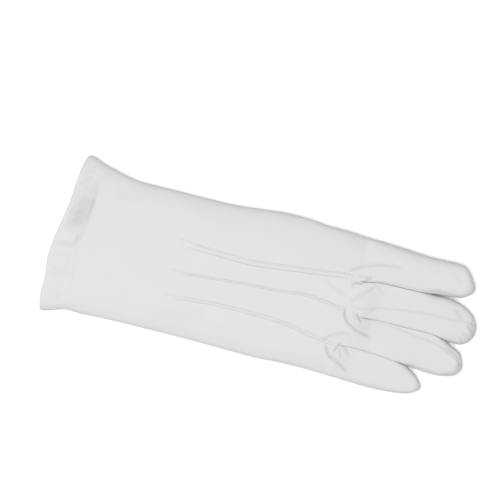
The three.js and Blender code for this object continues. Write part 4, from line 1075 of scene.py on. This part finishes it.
@functools.lru_cache(maxsize=2)
def glove_skin(fold_scale, seam_depth, point_height, hem_thickness):
    """The whole skin: the loops of the hand, then the fingers, the thumb and the hem that start from it.
    The block of faces where the thumb goes in is left open."""
    skin = Skin()
    rows = np.concatenate([i + np.arange(n) / n for i, n in enumerate(ROW_STEPS)] + [[len(ROW_STEPS)]])
    shares = np.interp(rows, np.arange(len(HAND_ROWS)), (HAND_ROWS - HAND_ROWS[0]) / np.ptp(HAND_ROWS))
    bare, weight = hand_loops(shares)
    open_hole(bare, rows)
    loops, dark = settled(bare, weight, fold_scale)
    push, dark = hand_marks(loops, rows, dark, seam_depth, point_height)
    ids = skin.add(loops, push, dark)
    palm_column = palm_at(0) - np.arange(loops.shape[1]) - 1
    in_columns = (palm_column >= HOLE_EDGES[0]) & (palm_column < HOLE_EDGES[1])
    in_rows = (rows[:-1] >= HOLE_ROWS[0]) & (rows[:-1] < HOLE_ROWS[1])
    piece = np.where(in_rows[:, None] & in_columns[None], -1, TRANK)
    arcs = arc_lengths(loops)
    skin.patch(closed(ids), uv_grid(closed(loops[..., 0]), arcs - arcs[:, BACK_COUNT // 2][:, None]), piece)
    build_fingers(skin, (bare, weight), ids, fold_scale, seam_depth)
    build_thumb(skin, loops, ids, rows)
    build_hem(skin, ids[0], fold_scale, hem_thickness)
    skin.hand_ids = ids
    return skin.finish()


# Meshes


def thickened(skin, number, thickness):
    """One piece's closed surface: its faces on the skin, the same faces turned over and drawn in by the
    thickness along the skin's normals, and quads round its open edges. Gives the numbers of its places on
    the skin, its places, faces and UV places, and the area of its outer side in square metres."""
    quads, tris = skin.quads[skin.quad_piece == number], skin.tris[skin.tri_piece == number]
    quad_uv, tri_uv = skin.quad_uv[skin.quad_piece == number], skin.tri_uv[skin.tri_piece == number]
    used, local = np.unique(np.concatenate([quads.ravel(), tris.ravel()]), return_inverse=True)
    quads, tris = local[:quads.size].reshape(-1, 4), local[quads.size:].reshape(-1, 3)
    n = len(used)
    edges = np.concatenate([np.stack([f, np.roll(f, -1, 1)], -1).reshape(-1, 2) for f in (quads, tris)])
    edge_uv = np.concatenate([
        np.stack([u, np.roll(u, -1, 1)], -2).reshape(-1, 2, 2) for u in (quad_uv, tri_uv)])
    _, where, times = np.unique(edges.min(1) * n + edges.max(1), return_inverse=True, return_counts=True)
    open_edge = times[where] == 1
    rim = edges[open_edge]
    rim_quads = np.stack([rim[:, 1], rim[:, 0], rim[:, 0] + n, rim[:, 1] + n], -1)
    rim_uv = edge_uv[open_edge][:, [1, 0, 0, 1]]
    outer = skin.p[used]
    inner = outer - skin.normals[used] * thickness
    inner[:, 2] = np.maximum(inner[:, 2], LOWEST_INSIDE)
    faces = [quads, quads[:, ::-1] + n, rim_quads, tris, tris[:, ::-1] + n]
    uvs = [quad_uv, quad_uv[:, ::-1], rim_uv, tri_uv, tri_uv[:, ::-1]]
    corners = np.concatenate([quads[:, [0, 1, 2]], quads[:, [0, 2, 3]], tris])
    a, b, c = (outer[corners[:, k]] * MM for k in range(3))
    area = float(np.linalg.norm(np.cross(b - a, c - a), axis=1).sum() / 2)
    flat_uv = np.concatenate([u.reshape(-1, 2) for u in uvs])
    return used, np.concatenate([outer, inner]), faces, flat_uv, area


def cloth_piece(skin, number, name, thickness):
    """One closed piece of cloth, and the area of its outer side. It carries the skin's own normals, so
    that neighbours shade as one cloth, a UV map in metres and the painted shade of its creases and seams."""
    used, points, faces, uv, area = thickened(skin, number, thickness)
    mesh = bpy.data.meshes.new(name)
    all_faces = [face for part in faces for face in part.tolist()]
    mesh.from_pydata(((points + FRAME_SHIFT) * MM).tolist(), [], all_faces)
    mesh.uv_layers.new(name="cloth").data.foreach_set("uv", (uv * MM).astype(np.float32).ravel())
    # The crease attribute holds painted shade: colour darkened in creases, seams and crotches, where shade
    # falls.
    layer = mesh.attributes.new("crease", "FLOAT", "POINT")
    layer.data.foreach_set("value", np.tile(skin.dark[used], 2).astype(np.float32))
    mesh.polygons.foreach_set("use_smooth", np.ones(len(mesh.polygons), bool))
    mesh.update()
    normals = skin.normals[used]
    mesh.normals_split_custom_set_from_vertices(np.concatenate([normals, -normals]).tolist())
    obj = bpy.data.objects.new(name, mesh)
    bpy.context.scene.collection.objects.link(obj)
    return obj, area


def stitches(paths, pitch, width, lift):
    """Short rounded threads along paths of places with normals, one to a pitch. Each is a tube of rings,
    placed, thick and bowed as THREAD says, that comes up out of the cloth and goes back into it."""
    length = pitch * STITCHES["length"]
    turns = np.radians(np.arange(THREAD_SIDES) * 360 / THREAD_SIDES + THREAD_TURN)
    all_points, all_quads, all_ends, total = [], [], [], 0
    for places, normals in paths:
        run = running(np.linalg.norm(np.diff(places, axis=0), axis=1))
        centres = np.arange(pitch / 2, run[-1] - length / 2, pitch)
        at = centres[:, None] + THREAD["place"][None] * length / 2
        spot = np.stack([np.interp(at, run, places[:, k]) for k in range(3)], -1)
        up = np.stack([np.interp(at, run, normals[:, k]) for k in range(3)], -1)
        up /= np.linalg.norm(up, axis=-1, keepdims=True)
        way = np.gradient(spot, axis=1)
        way /= np.linalg.norm(way, axis=-1, keepdims=True)
        across = np.cross(up, way)
        spot = spot + up * (lift + THREAD["bow"][None, :, None] * width / 2)
        ring = (
            across[:, :, None] * np.cos(turns)[None, None, :, None]
            + up[:, :, None] * np.sin(turns)[None, None, :, None] * THREAD_FLATNESS
        ) * (THREAD["girth"] * width / 2)[None, :, None, None]
        points = spot[:, :, None] + ring
        ids = np.arange(points[..., 0].size).reshape(points.shape[:3]) + total
        nxt = np.roll(ids, -1, axis=2)
        quads = np.stack([ids[:, :-1], nxt[:, :-1], nxt[:, 1:], ids[:, 1:]], -1)
        all_points.append(points.reshape(-1, 3))
        all_quads += quads.reshape(-1, 4).tolist()
        all_ends += ids[:, 0, ::-1].tolist() + ids[:, -1].tolist()
        total += ids.size
    return np.concatenate(all_points), all_quads + all_ends


# Materials


def graph(name):
    """A new material, its nodes and links, and the shader that it starts with."""
    material = bpy.data.materials.new(name)
    material.use_nodes = True
    nodes = material.node_tree.nodes
    return material, nodes, material.node_tree.links, nodes["Principled BSDF"]


def maths(nodes, links, operation, a, b=None, c=None):
    """A Math node's output. Numbers are set on its sockets, and sockets are linked to them."""
    node = nodes.new("ShaderNodeMath")
    node.operation = operation
    for i, value in enumerate((a, b, c)):
        if value is None:
            continue
        if isinstance(value, (int, float)):
            node.inputs[i].default_value = value
        else:
            links.new(value, node.inputs[i])
    return node.outputs[0]


def noise(nodes, links, coords, scale, detail):
    """A noise over the object's own places, from 0 to 1."""
    node = nodes.new("ShaderNodeTexNoise")
    node.inputs["Scale"].default_value = scale
    node.inputs["Detail"].default_value = detail
    links.new(coords.outputs["Object"], node.inputs["Vector"])
    return node.outputs["Fac"]


def raised(nodes, links, shader, height, strength, distance):
    """Links a height to the shader as a bump."""
    bump = nodes.new("ShaderNodeBump")
    bump.inputs["Strength"].default_value = strength
    bump.inputs["Distance"].default_value = distance
    links.new(height, bump.inputs["Height"])
    links.new(bump.outputs[0], shader.inputs["Normal"])


def toned(nodes, links, shader, colour, value):
    """Links a colour times a value to the shader's base colour."""
    scale = nodes.new("ShaderNodeVectorMath")
    scale.operation = "SCALE"
    scale.inputs[0].default_value = colour[:3]
    links.new(value, scale.inputs["Scale"])
    links.new(scale.outputs[0], shader.inputs["Base Color"])


def knit_height(nodes, links, pitch):
    """Height of the knit: the sine across a rib times the sine along its loops. The way across is folded
    back at a rib's middle, so that the loops slant into rows of small Vs."""
    uv = nodes.new("ShaderNodeUVMap")
    uv.uv_map = "cloth"
    split = nodes.new("ShaderNodeSeparateXYZ")
    links.new(uv.outputs[0], split.inputs[0])
    rib = maths(nodes, links, "MULTIPLY", split.outputs[1], 1 / pitch)
    fold = maths(nodes, links, "PINGPONG", rib, 0.5)
    ridge = maths(nodes, links, "SINE", maths(nodes, links, "MULTIPLY", fold, math.pi))
    slant = maths(nodes, links, "MULTIPLY", fold, KNIT["slant"])
    course = maths(nodes, links, "MULTIPLY_ADD", split.outputs[0], 1 / (KNIT["loop"] * pitch), slant)
    loops = maths(nodes, links, "SINE", maths(nodes, links, "MULTIPLY", course, 2 * math.pi))
    loops = maths(nodes, links, "MULTIPLY_ADD", loops, *KNIT["depth"])
    return maths(nodes, links, "MULTIPLY", ridge, loops)


def knit_material(name, colour, pitch, depth):
    """Fine knitted cotton: ribs of small Vs with a nap of fibres over them, a slight unevenness of tone,
    and painted shade that darkens the colour in seams and creases."""
    material, nodes, links, shader = graph(name)
    weave = knit_height(nodes, links, pitch)
    coords = nodes.new("ShaderNodeTexCoord")
    nap = noise(nodes, links, coords, *KNIT["nap"])
    height = maths(nodes, links, "MULTIPLY_ADD", nap, KNIT["nap_height"], weave)
    raised(nodes, links, shader, height, KNIT["bump"], depth)
    base = maths(nodes, links, "MULTIPLY_ADD", noise(nodes, links, coords, *KNIT["cloud"]), *KNIT["tone"])
    crease = nodes.new("ShaderNodeAttribute")
    crease.attribute_name = "crease"
    # Painted shade: the colour is darkened by the crease attribute in seams and creases.
    dark = maths(nodes, links, "MULTIPLY_ADD", crease.outputs["Fac"], *KNIT["crease"])
    toned(nodes, links, shader, colour, maths(nodes, links, "MULTIPLY", base, dark))
    links.new(maths(nodes, links, "MULTIPLY_ADD", nap, *KNIT["roughness"]), shader.inputs["Roughness"])
    shader.inputs["Specular IOR Level"].default_value = 0.18
    shader.inputs["Sheen Weight"].default_value = 0.05
    shader.inputs["Sheen Roughness"].default_value = 0.55
    return material


def thread_material(name, colour):
    """Cotton thread: plied strands as fine slanting bands, with a faint unevenness of tone."""
    material, nodes, links, shader = graph(name)
    coords = nodes.new("ShaderNodeTexCoord")
    bands = nodes.new("ShaderNodeTexWave")
    bands.bands_direction = "DIAGONAL"
    bands.inputs["Scale"].default_value = PLY["bands"]
    bands.inputs["Distortion"].default_value = PLY["distortion"]
    links.new(coords.outputs["Object"], bands.inputs["Vector"])
    strands = bands.outputs["Fac"]
    raised(nodes, links, shader, strands, PLY["bump"], PLY["depth"])
    toned(nodes, links, shader, colour, maths(nodes, links, "MULTIPLY_ADD", strands, *PLY["tone"]))
    links.new(maths(nodes, links, "MULTIPLY_ADD", strands, *PLY["roughness"]), shader.inputs["Roughness"])
    shader.inputs["Specular IOR Level"].default_value = 0.2
    return material


def floor_material(colour):
    """A plain pale studio floor, with a very faint unevenness."""
    material, nodes, links, shader = graph("studio_floor")
    tone = noise(nodes, links, nodes.new("ShaderNodeTexCoord"), 3, 2)
    toned(nodes, links, shader, colour, maths(nodes, links, "MULTIPLY_ADD", tone, 0.01, 0.99))
    shader.inputs["Roughness"].default_value = 0.9
    shader.inputs["Specular IOR Level"].default_value = 0.1
    return material


def cloth_material(settings):
    """The knit shared by all the pieces of cloth."""
    name = "cotton_knit_cloth"
    known = bpy.data.materials.get(name)
    return known or knit_material(name, settings.cloth_colour, settings.rib_pitch, settings.knit_depth)


class CottonGloveSettings(bpy.types.PropertyGroup):
    """Sizes and colours of the glove and its studio."""

    cloth_thickness: bpy.props.FloatProperty(
        name="Cloth thickness", description="Thickness of the knitted cloth",
        default=0.0008, min=0.0003, max=0.002, precision=4, subtype="DISTANCE", unit="LENGTH",
    )
    hem_thickness: bpy.props.FloatProperty(
        name="Hem thickness", description="Thickness of the turned hem, both layers together",
        default=0.0018, min=0.001, max=0.004, precision=4, subtype="DISTANCE", unit="LENGTH",
    )
    seam_depth: bpy.props.FloatProperty(
        name="Seam depth", description="How far the cloth is drawn in along a seam",
        default=0.00024, min=0.0, max=0.001, precision=5, subtype="DISTANCE", unit="LENGTH",
    )
    point_height: bpy.props.FloatProperty(
        name="Point height", description="How far the stitched points on the back stand up",
        default=0.00065, min=0.0001, max=0.0015, precision=5, subtype="DISTANCE", unit="LENGTH",
    )
    fold_scale: bpy.props.FloatProperty(
        name="Folds", description="Strength of the folds, dents and waves, 1 as laid out",
        default=1.0, min=0.0, max=1.5, subtype="FACTOR",
    )
    rib_pitch: bpy.props.FloatProperty(
        name="Rib pitch", description="Distance between the fine ribs of the knit",
        default=0.0006, min=0.0004, max=0.003, precision=5, subtype="DISTANCE", unit="LENGTH",
    )
    knit_depth: bpy.props.FloatProperty(
        name="Knit depth", description="Height of the knit's loops",
        default=0.00007, min=0.0, max=0.0006, precision=5, subtype="DISTANCE", unit="LENGTH",
    )
    stitch_pitch: bpy.props.FloatProperty(
        name="Stitch pitch", description="Distance from one stitch to the next",
        default=0.0026, min=0.0012, max=0.006, precision=4, subtype="DISTANCE", unit="LENGTH",
    )
    cloth_colour: bpy.props.FloatVectorProperty(
        name="Cloth colour", description="Colour of the cotton", size=3,
        default=(0.60, 0.594, 0.584), min=0.0, max=1.0, subtype="COLOR",
    )
    # The thread is darker than the cloth: painted shade, standing in for the shadow in the needle holes.
    thread_colour: bpy.props.FloatVectorProperty(
        name="Thread colour", description="Colour of the stitching", size=3,
        default=(0.55, 0.544, 0.534), min=0.0, max=1.0, subtype="COLOR",
    )
    key_light: bpy.props.FloatProperty(
        name="Key light", description="Power of the soft light above the cuff, on the little finger's side",
        default=25.0, min=0.0, max=200.0, subtype="POWER", unit="POWER",
    )
    top_light: bpy.props.FloatProperty(
        name="Top light", description="Power of the large light overhead",
        default=34.0, min=0.0, max=200.0, subtype="POWER", unit="POWER",
    )
    room_light: bpy.props.FloatProperty(
        name="Room light", description="Brightness of the room all round", default=0.12, min=0.0, max=3.0,
    )
    camera_height: bpy.props.FloatProperty(
        name="Camera height", description="Distance of the camera above the table",
        default=1.1, min=0.3, max=5.0, subtype="DISTANCE", unit="LENGTH",
    )


def skin_for(settings):
    """The skin at the settings, with lengths in millimetres."""
    lengths = (settings.seam_depth, settings.point_height, settings.hem_thickness)
    return glove_skin(round(settings.fold_scale, 4), *(round(length / MM, 4) for length in lengths))


def sewn(settings, number, name):
    obj, area = cloth_piece(skin_for(settings), number, name, settings.cloth_thickness / MM)
    obj.data.materials.append(cloth_material(settings))
    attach(obj, "root")
    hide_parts(PIECES[number])
    return obj


class GLOVE_OT_hand(bpy.types.Operator):
    """Back and palm cut in one piece, with the finger fronts and backs and the three raised points"""

    bl_idname = "cotton_glove.hand"
    bl_label = "Hand"

    def execute(self, context):
        sewn(context.scene.cotton_glove, TRANK, "hand_cloth")
        return {"FINISHED"}


class GLOVE_OT_side_strips(bpy.types.Operator):
    """The three strips between the fingers, each down one finger, round the crotch and up the next"""

    bl_idname = "cotton_glove.side_strips"
    bl_label = "Finger side strips"

    def execute(self, context):
        for number, node in enumerate(STRIPS, 1):
            name = node.replace("fourchette", "strip_cloth")
            sewn(context.scene.cotton_glove, number, name)
        return {"FINISHED"}


class GLOVE_OT_thumb(bpy.types.Operator):
    """The thumb, set into its hole in the palm and lying flat under it"""

    bl_idname = "cotton_glove.thumb"
    bl_label = "Thumb"

    def execute(self, context):
        sewn(context.scene.cotton_glove, THUMB_PIECE, "thumb_cloth")
        return {"FINISHED"}


class GLOVE_OT_hem(bpy.types.Operator):
    """The wrist hem: a band of cloth turned back inside the cuff and gathered into soft lobes"""

    bl_idname = "cotton_glove.hem"
    bl_label = "Cuff hem"

    def execute(self, context):
        sewn(context.scene.cotton_glove, HEM_PIECE, "hem_cloth")
        return {"FINISHED"}


class GLOVE_OT_stitching(bpy.types.Operator):
    """The rows of stitches along both sides of the three points on the back, and along the hem"""

    bl_idname = "cotton_glove.stitching"
    bl_label = "Stitching"

    def execute(self, context):
        settings = context.scene.cotton_glove
        skin = skin_for(settings)
        ids, pitch = skin.hand_ids, settings.stitch_pitch / MM
        material = thread_material("cotton_thread", settings.thread_colour)
        for line, node in enumerate(POINTS, 1):
            paths = []
            for side, sink, start in STITCH_ROWS:
                share = side * POINT_KINDS[line - 1]["width"] / NOMINAL_WIDTH * COLUMNS_PER_FINGER
                column = int(np.abs(BACK_COLUMNS - (line * COLUMNS_PER_FINGER - share)).argmin())
                normals = skin.normals[ids[:, column]]
                path = skin.p[ids[:, column]] - normals * sink
                keep = (path[:, 0] > start) & (path[:, 0] < POINT_SPAN["until"] - STITCHES["end"])
                paths.append((path[keep], normals[keep]))
            points, faces = stitches(paths, pitch, STITCHES["width"], 0.0)
            obj = self.thread(node.replace("point", "point_stitches"), points, faces, material)
            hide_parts(node)
        ring = np.append(ids[1], ids[1, 0])
        hem_path = [(skin.p[ring], skin.normals[ring])]
        points, faces = stitches(hem_path, pitch, STITCHES["hem_width"], STITCHES["hem_lift"])
        self.thread("hem_stitches", points, faces, material)
        return {"FINISHED"}

    def thread(self, name, points, faces, material):
        """An object of short threads from places in millimetres."""
        mesh = bpy.data.meshes.new(name)
        mesh.from_pydata(((points + FRAME_SHIFT) * MM).tolist(), [], faces)
        mesh.polygons.foreach_set("use_smooth", np.ones(len(faces), bool))
        mesh.materials.append(material)
        mesh.update()
        obj = bpy.data.objects.new(name, mesh)
        bpy.context.scene.collection.objects.link(obj)
        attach(obj, "root")
        return obj


def aimed(obj, place, target):
    """Puts an object at a place, turned to look at the target."""
    obj.location = place
    direction = Vector(target) - Vector(place)
    obj.rotation_euler = direction.to_track_quat("-Z", "Y").to_euler()


class GLOVE_OT_stage(bpy.types.Operator):
    """The pale floor, the soft lights and the camera straight above"""

    bl_idname = "cotton_glove.stage"
    bl_label = "Studio"

    def execute(self, context):
        settings = context.scene.cotton_glove
        scene = context.scene
        mesh = bpy.data.meshes.new("studio_floor")
        half, level = FLOOR["half"], FLOOR["level"]
        corners = [(-half, -half, level), (half, -half, level), (half, half, level), (-half, half, level)]
        mesh.from_pydata(corners, [], [(0, 1, 2, 3)])
        mesh.materials.append(floor_material(FLOOR["colour"]))
        floor = bpy.data.objects.new("studio_floor", mesh)
        scene.collection.objects.link(floor)
        for name, width, place in LIGHTS:
            light = bpy.data.lights.new(name, "AREA")
            light.energy, light.size = getattr(settings, name), width
            lamp = bpy.data.objects.new(name, light)
            scene.collection.objects.link(lamp)
            aimed(lamp, place, (0.0, 0.0, 0.0))
        world = bpy.data.worlds.new("studio_room")
        world.use_nodes = True
        background = world.node_tree.nodes["Background"]
        background.inputs["Color"].default_value = (1.0, 1.0, 1.0, 1.0)
        background.inputs["Strength"].default_value = settings.room_light
        scene.world = world
        camera = bpy.data.cameras.new("camera")
        height = settings.camera_height
        camera.sensor_width = CAMERA["sensor"]
        camera.lens = CAMERA["sensor"] * (height - CAMERA["level"]) / CAMERA["width"]
        camera.clip_start, camera.clip_end = 0.05, 20.0
        view = bpy.data.objects.new("camera", camera)
        scene.collection.objects.link(view)
        view.location = (*CAMERA["over"], height)
        view.rotation_euler = (0.0, 0.0, math.radians(CAMERA["turn"]))
        scene.camera = view
        scene.view_settings.view_transform = "Standard"
        return {"FINISHED"}


OPERATORS = (
    GLOVE_OT_hand, GLOVE_OT_side_strips, GLOVE_OT_thumb, GLOVE_OT_hem, GLOVE_OT_stitching, GLOVE_OT_stage,
)


class GLOVE_PT_sidebar(bpy.types.Panel):
    """Lists the glove's settings and steps in the 3D view's sidebar"""

    bl_idname = "GLOVE_PT_sidebar"
    bl_label = "Cotton Dress Glove"
    bl_space_type = "VIEW_3D"
    bl_region_type = "UI"
    bl_category = "Glove"

    def draw(self, context):
        settings = context.scene.cotton_glove
        for name in CottonGloveSettings.__annotations__:
            self.layout.prop(settings, name)
        for operator in OPERATORS:
            self.layout.operator(operator.bl_idname)


CLASSES = (CottonGloveSettings, *OPERATORS, GLOVE_PT_sidebar)


def register():
    """Registers the classes and gives every scene the glove's settings."""
    for cls in CLASSES:
        bpy.utils.register_class(cls)
    bpy.types.Scene.cotton_glove = bpy.props.PointerProperty(type=CottonGloveSettings)


def unregister():
    """Takes away what register added, in the opposite order."""
    del bpy.types.Scene.cotton_glove
    for cls in reversed(CLASSES):
        bpy.utils.unregister_class(cls)


def main():
    """Builds every piece in order."""
    register()
    bpy.ops.cotton_glove.hand()
    bpy.ops.cotton_glove.side_strips()
    bpy.ops.cotton_glove.thumb()
    bpy.ops.cotton_glove.hem()
    bpy.ops.cotton_glove.stitching()
    bpy.ops.cotton_glove.stage()


if __name__ == "__main__":
    main()
